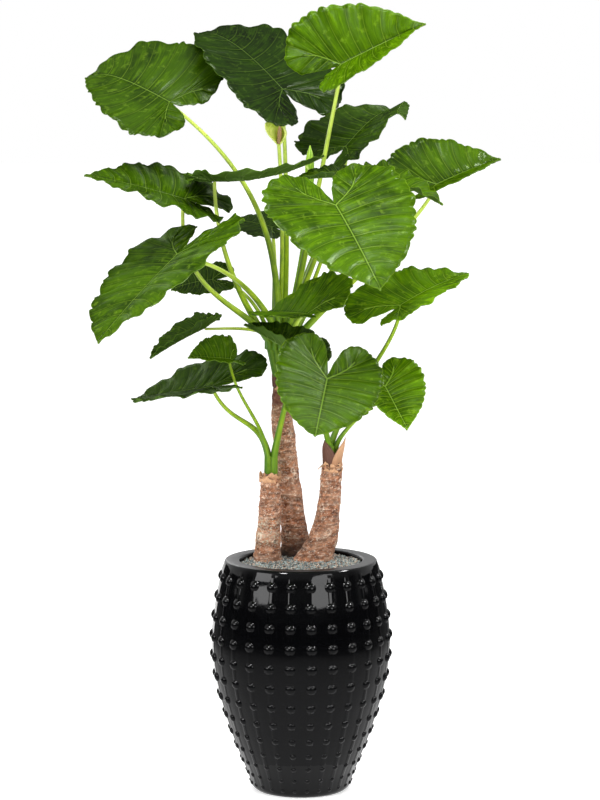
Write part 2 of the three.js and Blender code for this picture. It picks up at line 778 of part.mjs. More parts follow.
// One level of the hood: v runs from its foot to its top, which leans over the spike.
function hoodRow(shell, base, v, size) {
  const row = [];
  const open = lerp(150, 105, v);
  for (let j = 0; j <= HOOD_COLUMNS; j += 1) {
    const u = j / HOOD_COLUMNS;
    const a = rad(90 + lerp(-open, open, u));
    const curl = v > 0.7 ? -10 * (v - 0.7) * Math.sin(Math.PI * u) : 0;
    const x = base.x - 14 * v * v + size * Math.cos(a);
    const y = base.y + size * Math.sin(a) + curl;
    const droop = Math.abs(u - 0.5) * 24 * v;
    row.push(shell.point(x, y, base.z - 4 + HOOD_HEIGHT * v - droop));
  }
  return row;
}

function hoodSolid(base) {
  const shell = new Shell();
  const inner = [];
  const outer = [];
  for (let i = 0; i <= HOOD_ROWS; i += 1) {
    const v = i / HOOD_ROWS;
    const r = 3 + 21 * Math.sin(Math.PI * 0.75 * v);
    inner.push(hoodRow(shell, base, v, r - HOOD_WALL / 2));
    outer.push(hoodRow(shell, base, v, r + HOOD_WALL / 2));
  }
  const last = HOOD_COLUMNS;
  for (let i = 0; i < HOOD_ROWS; i += 1) {
    for (let j = 0; j < last; j += 1) {
      shell.quad(outer[i][j], outer[i][j + 1], outer[i + 1][j + 1], outer[i + 1][j]);
      shell.quad(inner[i][j], inner[i + 1][j], inner[i + 1][j + 1], inner[i][j + 1]);
    }
    shell.quad(outer[i][0], outer[i + 1][0], inner[i + 1][0], inner[i][0]);
    shell.quad(outer[i][last], inner[i][last], inner[i + 1][last], outer[i + 1][last]);
  }
  const top = HOOD_ROWS;
  for (let j = 0; j < last; j += 1) {
    shell.quad(outer[0][j], inner[0][j], inner[0][j + 1], outer[0][j + 1]);
    shell.quad(outer[top][j], outer[top][j + 1], inner[top][j + 1], inner[top][j]);
  }
  return shell.solid();
}

function flowerSolid() {
  const spike = shootSolid(FLOWER, SPIKE_PROFILE, SPIKE_LEAN);
  return spike.add(hoodSolid(new THREE.Vector3(...FLOWER.foot)));
}

// A crown is fluted by the sheaths that wrap it, and holds one socket for each stalk.
function crownSolid(name) {
  const { x, y, low, top, radii, lobes, steps } = CROWNS[name];
  const shell = new Shell();
  let last = null;
  for (let k = 0; k <= steps; k += 1) {
    const t = k / steps;
    const z = lerp(low + FIT_GAP, top, t);
    const r = lerp(radii[0], radii[1], t ** 0.8);
    const ring = shell.ring(x, y, z, r, r, lobes * 2);
    ring.forEach((p, i) => {
      const groove = i % 2 ? -0.06 * t : 0.01 * t;
      shell.points[p][0] += (shell.points[p][0] - x) * groove;
      shell.points[p][1] += (shell.points[p][1] - y) * groove;
    });
    if (last) shell.band(last, ring);
    else shell.cap(ring, shell.point(x, y, z), false);
    last = ring;
  }
  shell.cap(last, shell.point(x, y, top), true);
  return sockets[name].reduce((solid, hole) => solid.subtract(hole), shell.solid());
}

// The whole plant in its pot.

const GLAZE = { color: 0x0b0b0c, roughness: 0.12, metalness: 0 };
const SOIL = { color: 0x2b2018, roughness: 0.95, metalness: 0 };
const GRAVEL = { color: 0x8d8a82, roughness: 0.9, metalness: 0 };
const BARK = { color: 0x7a4f35, roughness: 0.85, metalness: 0 };
const LEAF = { color: 0x2f6b1e, roughness: 0.42, metalness: 0 };
const YOUNG_LEAF = { color: 0x9bbf4a, roughness: 0.45, metalness: 0 };
const PETAL = { color: 0xc8d67a, roughness: 0.5, metalness: 0 };
const SHEATH = { color: 0x6f8f3a, roughness: 0.55, metalness: 0 };

const plant = new THREE.Group();
plant.name = "potted_alocasia";
const stemHoles = Object.values(STEMS).map(stemHole);
plant.add(meshOf("pot", potSolid(), GLAZE));
plant.add(meshOf("soil", soilSolid(stemHoles), SOIL));
plant.add(meshOf("gravel", gravelSolid(stemHoles), GRAVEL));
for (const [name, levels] of Object.entries(STEMS)) {
  plant.add(meshOf(`stem_${name}`, stemSolid(levels), BARK));
}
for (const [name, leaf] of Object.entries(LEAVES)) {
  plant.add(meshOf(name, leafSolid({ ...PLAIN_BLADE, ...leaf }), LEAF));
}
plant.add(meshOf("young_leaf", shootSolid(SPEAR, SPEAR_PROFILE, SPEAR_LEAN), YOUNG_LEAF));
plant.add(meshOf("flower", flowerSolid(), PETAL));
plant.add(meshOf("crown_left", crownSolid("left"), SHEATH));
plant.add(meshOf("crown_middle", crownSolid("middle"), SHEATH));
plant.add(meshOf("crown_right", crownSolid("right"), BARK));

export default plant;
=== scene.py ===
"""Potted elephant-ear plant: the looks of the pot, gravel, stems, leaf stalks, leaves and flower.

Shapes are worked out in millimetres, with +Z up, the front at -Y and the origin in the middle of the
pot's foot, and become metres when a piece is made.
"""

import itertools
import math

import bpy
import numpy as np
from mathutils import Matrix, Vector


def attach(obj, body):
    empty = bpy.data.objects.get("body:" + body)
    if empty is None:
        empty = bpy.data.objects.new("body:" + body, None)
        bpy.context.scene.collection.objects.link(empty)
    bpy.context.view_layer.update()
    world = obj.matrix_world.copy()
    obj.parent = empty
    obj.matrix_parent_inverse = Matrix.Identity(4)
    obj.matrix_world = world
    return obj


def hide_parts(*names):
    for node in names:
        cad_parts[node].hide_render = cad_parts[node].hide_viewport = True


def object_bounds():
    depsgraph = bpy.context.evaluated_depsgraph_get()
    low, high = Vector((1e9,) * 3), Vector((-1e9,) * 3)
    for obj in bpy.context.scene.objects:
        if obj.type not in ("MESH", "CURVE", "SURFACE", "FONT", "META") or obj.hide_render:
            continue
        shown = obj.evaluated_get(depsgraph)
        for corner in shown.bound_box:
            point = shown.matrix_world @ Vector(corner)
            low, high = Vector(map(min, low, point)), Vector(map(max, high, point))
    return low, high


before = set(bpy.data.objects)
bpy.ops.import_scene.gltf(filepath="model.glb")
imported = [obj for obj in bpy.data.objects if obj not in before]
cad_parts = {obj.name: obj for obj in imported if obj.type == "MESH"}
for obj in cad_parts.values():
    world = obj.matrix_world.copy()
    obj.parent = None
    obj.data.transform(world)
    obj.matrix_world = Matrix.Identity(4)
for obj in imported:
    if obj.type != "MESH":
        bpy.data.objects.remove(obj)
cad_low, cad_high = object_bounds()

MM = 0.001
TURN = 2 * math.pi
SEED = 41


# Small helpers for numbers and curves


def unit(v):
    return v / np.maximum(np.linalg.norm(v, axis=-1, keepdims=True), 1e-9)


def ease(t):
    t = np.clip(t, 0, 1)
    return t * t * (3 - 2 * t)


def between(ends, share):
    return ends[0] + (ends[1] - ends[0]) * share


def spline(xs, ys, x):
    """A smooth curve through the points (xs, ys), read at x."""
    xs = np.asarray(xs, float)
    ys = np.asarray(ys, float)
    slope = np.gradient(ys, xs)
    k = np.clip(np.searchsorted(xs, x) - 1, 0, len(xs) - 2)
    step = xs[k + 1] - xs[k]
    t = np.clip((x - xs[k]) / step, 0, 1)
    start = ys[k] * (1 + 2 * t) * (1 - t) ** 2 + slope[k] * step * t * (1 - t) ** 2
    end = ys[k + 1] * t * t * (3 - 2 * t) + slope[k + 1] * step * t * t * (t - 1)
    return start + end


def columns_at(rows, x):
    """Reads every other column of a table by its first one, smoothly."""
    first, *others = np.array(rows, float).T
    return [spline(first, column, x) for column in others]


def lattice(u, v, nu, nv, seed):
    """Soft seeded noise from -1 to 1. It repeats in u after 1 and has nu by nv bumps for each unit."""
    grid = np.random.default_rng(seed).uniform(-1, 1, (nu, 257))
    a = np.mod(u, 1.0) * nu
    b = np.mod(np.abs(v) * nv, 256)
    i = np.floor(a).astype(int) % nu
    j = np.floor(b).astype(int)
    s = ease(a - np.floor(a))
    low, high = (grid[i, k] * (1 - s) + grid[(i + 1) % nu, k] * s for k in (j, j + 1))
    t = ease(b - j)
    return low * (1 - t) + high * t


def grid_faces(rows, columns, closed=False):
    """Quads of points stored row by row. Closed joins the last column to the first."""
    spans = columns if closed else columns - 1
    i, j = np.meshgrid(np.arange(rows - 1), np.arange(spans), indexing="ij")
    k = (j + 1) % columns
    quads = [i * columns + j, i * columns + k, (i + 1) * columns + k, (i + 1) * columns + j]
    return np.stack(quads, -1).reshape(-1, 4)


def fan(ring, centre, up):
    ahead = np.roll(ring, -1)
    middle = np.full(len(ring), centre)
    corners = [ring, ahead, middle] if up else [ahead, ring, middle]
    return np.stack(corners, -1).tolist()


def capped(rows, sides):
    """Faces of a tube of rows of points. Its two end points come after the rows."""
    ring = np.arange(sides)
    count = rows * sides
    wall = grid_faces(rows, sides, closed=True).tolist()
    return wall + fan(ring, count, False) + fan(ring + count - sides, count + 1, True)


def close_sheet(top, low, faces, fields):
    """Joins two faces of a sheet round their free edges."""
    count = len(top)
    edges = {edge: True for face in faces for edge in zip(face, [*face[1:], face[0]])}
    free = [edge for edge in edges if (edge[1], edge[0]) not in edges]
    sheet = [list(map(int, face)) for face in faces]
    sheet += [[int(i) + count for i in face[::-1]] for face in faces]
    sheet += [[int(b), int(a), int(a) + count, int(b) + count] for a, b in free]
    both = {key: np.concatenate([value, value]) for key, value in fields.items()}
    both["under"] = np.repeat([0.0, 1.0], count)
    return np.concatenate([top, low]), sheet, both


# Pieces and materials


def put_in_scene(name, data):
    obj = bpy.data.objects.new(name, data)
    bpy.context.scene.collection.objects.link(obj)
    return obj


class Body:
    """Gathers shells of points and faces, with named values at the points, into one piece."""

    def __init__(self):
        self.points = []
        self.faces = []
        self.kinds = []
        self.fields = []
        self.count = 0

    def add(self, points, faces, fields=None, kind=0):
        self.faces += [[i + self.count for i in face] for face in faces]
        self.kinds += [kind] * len(faces)
        self.points.append(points)
        self.fields.append((len(points), fields or {}))
        self.count += len(points)

    def field(self, name):
        return np.concatenate([np.broadcast_to(f.get(name, 0.0), (size,)) for size, f in self.fields])

    def piece(self, name, materials, nodes=()):
        mesh = bpy.data.meshes.new(name)
        mesh.from_pydata((np.concatenate(self.points) * MM).tolist(), [], self.faces)
        mesh.polygons.foreach_set("material_index", self.kinds)
        mesh.shade_smooth()
        for field in sorted({key for _, fields in self.fields for key in fields}):
            attribute = mesh.attributes.new(field, "FLOAT", "POINT")
            attribute.data.foreach_set("value", self.field(field).astype(np.float32))
        for material in materials:
            mesh.materials.append(material)
        mesh.update()
        obj = put_in_scene(name, mesh)
        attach(obj, "root")
        if nodes:
            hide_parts(*nodes)


class Nodes:
    """A node tree and short ways to add to it."""

    def __init__(self, tree):
        self.tree = tree

    def put(self, kind, inputs=None, **settings):
        node = self.tree.nodes.new(kind)
        for key, value in settings.items():
            setattr(node, key, value)
        for socket, value in (inputs or {}).items():
            self.set(node.inputs[socket], value)
        return node

    def set(self, socket, value):
        if isinstance(value, bpy.types.NodeSocket):
            self.tree.links.new(value, socket)
        else:
            socket.default_value = value

    def place(self, stretch=(1, 1, 1)):
        """Metres in the object's own frame, stretched."""
        coordinates = self.put("ShaderNodeTexCoord").outputs["Object"]
        return self.put("ShaderNodeMapping", {"Vector": coordinates, "Scale": stretch}).outputs["Vector"]

    def value(self, name):
        return self.put("ShaderNodeAttribute", attribute_name=name).outputs["Fac"]

    def noise(self, where, scale, detail=3.0, rough=0.5):
        inputs = {"Vector": where, "Scale": scale, "Detail": detail, "Roughness": rough}
        return self.put("ShaderNodeTexNoise", inputs).outputs["Fac"]

    def streaks(self, across, along, scale, detail, rough=0.5):
        """Noise over two surface values, each given with its stretch."""
        inputs = {"X": self.times(*across), "Y": self.times(*along)}
        where = self.put("ShaderNodeCombineXYZ", inputs).outputs["Vector"]
        return self.noise(where, scale, detail, rough)

    def cells(self, where, scale):
        return self.put("ShaderNodeTexVoronoi", {"Vector": where, "Scale": scale}).outputs["Distance"]

    def math(self, operation, *values, clamp=False):
        node = self.put("ShaderNodeMath", operation=operation, use_clamp=clamp)
        for socket, value in zip(node.inputs, values):
            self.set(socket, value)
        return node.outputs[0]

    def times(self, a, b):
        return self.math("MULTIPLY", a, b)

    def span(self, value, low, high, to_low=0.0, to_high=1.0):
        """Maps low..high to to_low..to_high, held at the ends. The value may be named."""
        value = self.value(value) if isinstance(value, str) else value
        inputs = {"Value": value, "From Min": low, "From Max": high, "To Min": to_low, "To Max": to_high}
        return self.put("ShaderNodeMapRange", inputs).outputs["Result"]

    def mix(self, amount, a, b):
        node = self.put("ShaderNodeMix", data_type="RGBA")
        for index, value in ((0, amount), (6, a), (7, b)):
            if index and not isinstance(value, bpy.types.NodeSocket):
                value = (*value, 1.0)
            self.set(node.inputs[index], value)
        return node.outputs[2]

    def layers(self, colour, *coats):
        """Mixes more colours over the first, each by its own amount."""
        for amount, coat in coats:
            colour = self.mix(amount, colour, coat)
        return colour

    def bump(self, height, distance, strength=1.0, under=None):
        inputs = {"Height": height, "Distance": distance, "Strength": strength}
        if under is not None:
            inputs["Normal"] = under
        return self.put("ShaderNodeBump", inputs).outputs["Normal"]


class Look(Nodes):
    """A material and the nodes that make it."""

    def __init__(self, name):
        self.material = bpy.data.materials.new(name)
        self.material.use_nodes = True
        super().__init__(self.material.node_tree)
        self.shader = self.tree.nodes["Principled BSDF"]

    def finish(self, **inputs):
        for key, value in inputs.items():
            self.set(self.shader.inputs[key.replace("_", " ")], value)
        return self.material

    def cover(self, kind, inputs, share):
        """Mixes a share of another shader with what the material has so far."""
        output = self.tree.nodes["Material Output"].inputs["Surface"]
        below = output.links[0].from_socket
        above = self.put(kind, inputs).outputs[0]
        blend = self.put("ShaderNodeMixShader", {0: share, 1: below, 2: above})
        self.set(output, blend.outputs[0])


# Camera, floor and light

CAMERA_PLACE = (-0.002, -7.0, 1.77)
CAMERA_PITCH = math.radians(6.73)
FOCAL_PIXELS = 2950
IMAGE_HEIGHT = 800
SENSOR = 36.0
WHITE = (1, 1, 1, 1)


def make_camera():
    data = bpy.data.cameras.new("camera")
    data.sensor_width = SENSOR
    data.sensor_fit = "AUTO"
    data.lens = SENSOR * FOCAL_PIXELS / IMAGE_HEIGHT
    data.clip_end = 200
    camera = put_in_scene("camera", data)
    camera.location = CAMERA_PLACE
    camera.rotation_euler = (math.pi / 2 - CAMERA_PITCH, 0, 0)
    bpy.context.scene.camera = camera


FLOOR_HALF = 40.0
FLOOR_DROP = 0.001
FLOOR_GLOW = 0.5


def make_floor():
    corners = [(-1, -1, 0), (1, -1, 0), (1, 1, 0), (-1, 1, 0)]
    mesh = bpy.data.meshes.new("floor")
    mesh.from_pydata([[FLOOR_HALF * c for c in corner] for corner in corners], [], [(0, 1, 2, 3)])
    look = Look("floor_pale")
    grain = look.noise(look.place(), 6.0, 4.0)
    colour = look.mix(grain, (0.80, 0.80, 0.80), (0.84, 0.84, 0.84))
    look.finish(Base_Color=colour, Roughness=0.7, Emission_Color=WHITE, Emission_Strength=FLOOR_GLOW)
    mesh.materials.append(look.material)
    floor = put_in_scene("floor", mesh)
    floor.location = (0, 0, -FLOOR_DROP)


# A dark cloth round the front and the sides, seen only in the glaze. Its inner part glows.
CLOTH_TURNS = (-150, 165)
CLOTH_STEPS = 48
CLOTH_PROFILE = [(0.2, 0.004), (2.4, 0.004), (9.0, 0.004), (9.0, 1.2)]
CLOTH_FADE = (0.2, 2.2)
CLOTH_GLOW = 1.1


def make_cloth():
    turns = np.radians(np.linspace(*CLOTH_TURNS, CLOTH_STEPS))
    points = [(r * math.sin(a), -r * math.cos(a), z) for r, z in CLOTH_PROFILE for a in turns]
    mesh = bpy.data.meshes.new("dark_cloth")
    mesh.from_pydata(points, [], grid_faces(len(CLOTH_PROFILE), CLOTH_STEPS).tolist())
    look = Look("dark_cloth")
    weave = look.noise(look.place(), 40.0, 3.0)
    away = look.put("ShaderNodeVectorMath", {"Vector": look.place((1, 1, 0))}, operation="LENGTH")
    look.finish(
        Base_Color=look.mix(weave, (0.02, 0.02, 0.02), (0.04, 0.04, 0.04)),
        Roughness=0.95,
        Emission_Color=WHITE,
        Emission_Strength=look.span(away.outputs["Value"], *CLOTH_FADE, CLOTH_GLOW, 0),
    )
    mesh.materials.append(look.material)
    cloth = put_in_scene("dark_cloth", mesh)
    cloth.visible_camera = False
    cloth.visible_diffuse = False
    cloth.visible_shadow = False
    cloth.visible_transmission = False


# The front of the sky from straight down to straight up: share of the way, and how bright.
SKY_STOPS = [(0.0, 1.0), (0.515, 1.0), (0.53, 0.10), (0.60, 0.10), (0.70, 0.55), (1.0, 0.75)]
BACK_GLOW = (1.0, 1.0, 1.0)
BACK_FROM = (-0.1, 0.25)


def make_sky():
    """White at the horizon and behind the plant; in front dark just above it, and pale overhead."""
    world = bpy.data.worlds.new("studio")
    bpy.context.scene.world = world
    world.use_nodes = True
    sky = Nodes(world.node_tree)
    place = sky.put("ShaderNodeTexCoord").outputs["Generated"]
    parts = sky.put("ShaderNodeSeparateXYZ", {"Vector": place}).outputs
    ramp = sky.put("ShaderNodeValToRGB", {"Fac": sky.math("MULTIPLY_ADD", parts["Z"], 0.5, 0.5)})
    stops = ramp.color_ramp.elements
    while len(stops) < len(SKY_STOPS):
        stops.new(1.0)
    for stop, (position, level) in zip(stops, SKY_STOPS):
        stop.position = position
        stop.color = (level, level, level, 1)
    colour = sky.mix(sky.span(parts["Y"], *BACK_FROM), ramp.outputs[0], BACK_GLOW)
    sky.set(sky.tree.nodes["Background"].inputs["Color"], colour)


# Each light: azimuth from the front to the right, elevation, distance, width, height and glow.
# The lamps are seen in glossy surfaces only, and the overhead light isn't seen in them.
LIGHT_AIM = (0, 0, 0.75)
LIGHTS = {
    "softbox_left": (-52, 12.6, 3.2, 1.8, 0.95, 9.5),
    "softbox_right": (33, 12.6, 3.2, 1.6, 0.95, 8.5),
    "overhead": (20, 70, 2.9, 1.8, 1.8, 9.0),
    "lamp_left": (-30, 42, 3.2, 0.5, 0.5, 130.0),
    "lamp_right": (82, 40, 3.2, 0.5, 0.5, 110.0),
    "lamp_top": (6, 66, 3.2, 0.6, 0.6, 34.0),
    "back_left": (-162, 21, 4.2, 1.6, 0.8, 8.5),
    "back_right": (166, 34, 4.2, 1.2, 0.8, 8.5),
}


def make_lights():
    for name, (azimuth, elevation, distance, width, height, glow) in LIGHTS.items():
        data = bpy.data.lights.new(name, "AREA")
        data.shape = "RECTANGLE"
        data.size = width
        data.size_y = height
        data.energy = glow * width * height * math.pi
        light = put_in_scene(name, data)
        a = math.radians(azimuth)
        e = math.radians(elevation)
        out = (math.sin(a) * math.cos(e), -math.cos(a) * math.cos(e), math.sin(e))
        light.location = [c + distance * d for c, d in zip(LIGHT_AIM, out)]
        light.rotation_euler = (math.pi / 2 - e, 0, a)
        light.visible_camera = False
        light.visible_glossy = name != "overhead"
        light.visible_diffuse = not name.startswith("lamp")


# Pot: a glazed lathe form with rows of round studs on faint raised bands

# Height and radius, up the outside, over the lip and down the inside.
POT_OUTSIDE = [
    (0, 110), (6, 117), (17, 121), (43, 130), (74, 143), (109, 157), (147, 171), (188, 184), (233, 197),
    (281, 207), (329, 213), (365, 214.5), (400, 212.5), (426, 209.5), (474, 202), (522, 192), (546, 187),
    (555, 184),
]
POT_LIP = [(557.2, 182.6), (558.9, 181), (559.7, 179.2), (560, 177)]
POT_MOUTH = [(560, 152.5), (559.6, 150.6), (558.4, 149), (556.5, 147.6), (553, 146.4), (548, 146.6)]
POT_HOLLOW = [(520, 168), (505, 181), (400, 198), (220, 179), (45, 117), (25, 96), (25, 2)]
POT_FLOOR = 25
WALL_HEIGHTS = np.concatenate([[0, 1.5, 3.5, 6], np.arange(10, 552, 4.4), [553, 555]])
STUD_COLUMNS = 26
STUD_ROWS = [522, 474, 426, 378, 329, 281, 233, 188, 147, 109, 74, 43, 17]
STUD_SIDES = 20
STUD_RINGS = [1.16, 1.05, 0.99, 0.94, 0.84, 0.66, 0.42, 0.18]
STUD_RADII = (5.2, 12.0)
STUD_RISES = (4.2, 6.9)
STUD_GROWTH = 277
BAND_HALF = 4.6
BAND_RISE = 0.8
BAND_SOFT = 1.2
BAND_ENDS = (8, 548)
COLUMN_MARKS = [-0.5, -0.38, -0.26, -0.155, -0.11, -0.085, -0.05, 0, 0.05, 0.085, 0.11, 0.155, 0.26, 0.38]
BAND_FADES = (12, 8)
SATIN_FROM = (0.5565, 0.5590)
SATIN = 0.34


def pot_radius(z):
    return columns_at(POT_OUTSIDE, z)[0]


def pot_wall():
    marks = np.array(COLUMN_MARKS)
    pitch = TURN / STUD_COLUMNS
    angles = ((np.arange(STUD_COLUMNS)[:, None] + marks) * pitch).ravel()
    off = np.tile(np.abs(marks) * pitch, STUD_COLUMNS)
    rows = []
    for z in WALL_HEIGHTS:
        r = pot_radius(z)
        inside = ease((z - BAND_ENDS[0]) / BAND_FADES[0]) * ease((BAND_ENDS[1] - z) / BAND_FADES[1])
        band = 1 - ease((off * r - BAND_HALF + BAND_SOFT) / (2 * BAND_SOFT))
        rows.append((z, r + BAND_RISE * inside * band))
    rows += [(z, r + 0 * off) for z, r in POT_LIP + POT_MOUTH + POT_HOLLOW]
    points = [np.stack([r * np.cos(angles), r * np.sin(angles), z + 0 * off], -1) for z, r in rows]
    points = np.concatenate([*points, [[0, 0, 0], [0, 0, POT_FLOOR]]])
    return points, capped(len(rows), len(angles))


def stud(column, z):
    """A round dome with a soft foot, wrapped on the wall."""
    grown = np.clip((z - STUD_ROWS[-1]) / STUD_GROWTH, 0, 1)
    size = between(STUD_RADII, grown)
    height = between(STUD_RISES, grown)
    middle = column * TURN / STUD_COLUMNS
    turn = np.arange(STUD_SIDES) * TURN / STUD_SIDES
    rings = []
    for share in STUD_RINGS:
        lift = height * (1 - share**1.9) ** 0.6 if share < 1 else 0.5 - 6 * (share - 1)
        up = z + size * share * np.sin(turn)
        r = pot_radius(up) + lift
        a = middle + size * share * np.cos(turn) / pot_radius(z)
        rings.append(np.stack([r * np.cos(a), r * np.sin(a), up], -1))
    crest = float(pot_radius(z)) + height
    top = [crest * math.cos(middle), crest * math.sin(middle), z]
    points = np.concatenate([*rings, [top]])
    faces = grid_faces(len(rings), STUD_SIDES, closed=True).tolist()
    last = np.arange(STUD_SIDES) + (len(rings) - 1) * STUD_SIDES
    return points, faces + fan(last, len(points) - 1, True)


def glaze():
    look = Look("black_glaze")
    place = look.place()
    broad = look.noise(place, 9.0, 2.0)
    fine = look.noise(place, 160.0, 3.0)
    specks = look.span(look.noise(place, 420.0, 2.0), 0.66, 0.8)
    colour = look.mix(broad, (0.0006, 0.0006, 0.0008), (0.0014, 0.0015, 0.0018))
    height = look.put("ShaderNodeSeparateXYZ", {"Vector": place}).outputs["Z"]
    satin = look.span(height, *SATIN_FROM, 0, SATIN)
    return look.finish(
        Base_Color=look.mix(specks, colour, (0.006, 0.006, 0.0065)),
        Roughness=look.math("ADD", look.span(fine, 0.3, 0.7, 0.04, 0.08), satin),
        Specular_IOR_Level=0.17,
        Normal=look.bump(fine, 0.0004, 0.10, look.bump(broad, 0.004, 0.35)),
    )


def make_pot():
    material = glaze()
    wall = Body()
    wall.add(*pot_wall())
    wall.piece("pot_wall", [material], ["pot"])
    studs = Body()
    for column, z in itertools.product(range(STUD_COLUMNS), STUD_ROWS):
        studs.add(*stud(column, z))
    studs.piece("pot_studs", [material])


# Filling: dark soil with a bed of fine gravel on it

GRAVEL_TOP = 548
BED_RADIUS = 145.6
BED_RINGS = 40
BED_SIDES = 120
BED_DEPTH = 9
BED_SINK = 1.2
PEBBLES = 5200
PEBBLE_SIZES = (1.3, 2.5)
PEBBLE_SPREAD = 143.5
PEBBLE_CORNERS = 12
FACE_EDGE = 1.06


def gravel_height(x, y):
    mound = 4 * np.cos(np.hypot(x - 30, y + 30) / 110)
    bumps = np.sin(x * 0.31 + 1.3) * np.cos(y * 0.29) + np.sin((x + y) * 0.23 + 0.4)
    return GRAVEL_TOP + mound + 1.3 * bumps


def gravel_bed():
    """A closed flat-footed disc, its top a little under the middles of the pebbles."""
    turn = np.arange(BED_SIDES) * TURN / BED_SIDES
    radii = BED_RADIUS * np.concatenate([[1.0], np.linspace(1, 0.01, BED_RINGS)])[:, None]
    x = radii * np.cos(turn)
    y = radii * np.sin(turn)
    z = gravel_height(x, y) - BED_SINK
    z[0] = z.min() - BED_DEPTH
    ends = [[0, 0, z[0, 0]], [0, 0, gravel_height(0.0, 0.0) - BED_SINK]]
    points = np.concatenate([np.stack([x, y, z], -1).reshape(-1, 3), ends])
    return points, capped(len(radii), BED_SIDES)


def icosahedron():
    g = (1 + 5**0.5) / 2
    corners = [c for a in (-1, 1) for b in (-g, g) for c in ((a, b, 0), (0, a, b), (b, 0, a))]
    corners = unit(np.array(corners, float))
    faces = []
    for i, j, k in itertools.combinations(range(len(corners)), 3):
        a, b, c = corners[[i, j, k]]
        if max(np.linalg.norm(p - q) for p, q in ((a, b), (b, c), (c, a))) < FACE_EDGE:
            facing = np.dot(np.cross(b - a, c - a), a) > 0
            faces.append((i, j, k) if facing else (i, k, j))
    return corners, np.array(faces)


def random_turns(rng, count):
    q = unit(rng.normal(size=(count, 4)))
    w, x, y, z = q.T
    rows = [
        [1 - 2 * (y * y + z * z), 2 * (x * y - z * w), 2 * (x * z + y * w)],
        [2 * (x * y + z * w), 1 - 2 * (x * x + z * z), 2 * (y * z - x * w)],
        [2 * (x * z - y * w), 2 * (y * z + x * w), 1 - 2 * (x * x + y * y)],
    ]
    return np.array(rows).transpose(2, 0, 1)


def pebbles():
    rng = np.random.default_rng(SEED)
    corners, faces = icosahedron()
    radius = PEBBLE_SPREAD * np.sqrt(rng.uniform(0, 1, PEBBLES))
    angle = rng.uniform(0, TURN, PEBBLES)
    x, y = radius * np.cos(angle), radius * np.sin(angle)
    z = gravel_height(x, y) + rng.uniform(-0.9, 1.7, PEBBLES)
    size = rng.uniform(*PEBBLE_SIZES, (PEBBLES, 1)) * rng.uniform(0.7, 1.25, (PEBBLES, 3))
    uneven = rng.uniform(0.82, 1.12, (PEBBLES, PEBBLE_CORNERS, 1))
    shapes = corners[None] * uneven * size[:, None, :]
    shapes = np.einsum("nij,nkj->nki", random_turns(rng, PEBBLES), shapes)
    points = shapes + np.stack([x, y, z], -1)[:, None, :]
    faces = faces[None] + (np.arange(PEBBLES) * PEBBLE_CORNERS)[:, None, None]
    own = {name: rng.uniform(0, 1, PEBBLES) for name in ("tone", "warm")}
    fields = {name: np.repeat(value, PEBBLE_CORNERS) for name, value in own.items()}
    return points.reshape(-1, 3), faces.reshape(-1, 3).tolist(), fields


def pebble_look():
    look = Look("gravel_grains")
    tone = look.value("tone")
    cold = look.mix(tone, (0.016, 0.034, 0.038), (0.56, 0.66, 0.64))
    warm = look.mix(tone, (0.26, 0.15, 0.09), (0.85, 0.68, 0.54))
    speckle = look.noise(look.place(), 900.0, 3.0)
    colour = look.mix(look.span("warm", 0.66, 0.70), cold, warm)
    return look.finish(
        Base_Color=look.mix(look.span(speckle, 0.45, 0.75, 0, 0.6), colour, (0.05, 0.05, 0.05)),
        Roughness=0.62,
        Normal=look.bump(speckle, 0.0005, 0.5),
    )


def soil_look():
    look = Look("dark_soil")
    place = look.place()
    crumbs = look.cells(place, 420.0)
    damp = look.noise(place, 60.0, 5.0)
    colour = look.mix(damp, (0.012, 0.010, 0.008), (0.05, 0.04, 0.03))
    return look.finish(
        Base_Color=look.mix(look.span(crumbs, 0, 0.6), (0.07, 0.07, 0.065), colour),
        Roughness=0.9,
        Normal=look.bump(crumbs, 0.002, 0.8),
    )


def make_filling():
    soil = soil_look()
    bed = Body()
    bed.add(*gravel_bed())
    bed.piece("gravel_bed", [soil], ["gravel"])
    grains = Body()
    grains.add(*pebbles())
    grains.piece("gravel_grains", [pebble_look()])
    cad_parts["soil"].data.materials.clear()
    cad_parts["soil"].data.materials.append(soil)


# Stems: woody, ringed with leaf scars, and leaning

# Each level: height, the middle's x and y, and the half widths along x and y.
STEMS = {
    "left": [
        (475, -80, 35, 34, 32), (560, -80, 35, 34, 32), (578, -80, 35, 31, 30), (620, -77, 35, 29.5, 28),
        (660, -75, 35, 28, 27), (700, -73, 35, 25, 24), (735, -74, 35, 21.5, 21), (762, -74, 35, 18, 18),
    ],
    "middle": [
        (475, -14, 106, 36, 33), (560, -14, 106, 36, 33), (600, -14, 104, 33, 31), (640, -18, 101, 30.5, 29),
        (700, -25, 96, 28, 27), (765, -32, 91, 26, 25.5), (815, -38, 87, 25.5, 25), (860, -43, 82, 27, 26),
        (905, -48, 78, 25, 25), (935, -51, 75, 17.5, 17.5), (966, -50, 73, 17, 17),
    ],
    "right": [
        (475, 32, 28, 47, 39), (560, 32, 28, 47, 39), (575, 40, 29, 43, 37), (600, 50, 30, 38, 35),
        (640, 61, 30, 32, 31), (680, 67, 30, 27.5, 27), (730, 71, 30, 25.5, 25), (765, 74, 30, 24.5, 24),
        (788, 76, 30, 21, 21),
    ],
}
STEM_SIDES = 110
STEM_STEP = 2.4
STEM_RADIUS = 27
RING_PITCH = 21
BARK_UNIT = 400
NECK_FROM = 918
FOOT_SHADE_TO = 620
SPOTS = (578, 668)
NECK_FADE = 14
FOOT_SHADE_FADE = 70
SPOT_FADES = (15, 25)
TOP_FADE = 12
SCARS = 36
SCAR_HALVES = (3.0, 7.5)
SCARS_FROM = 70


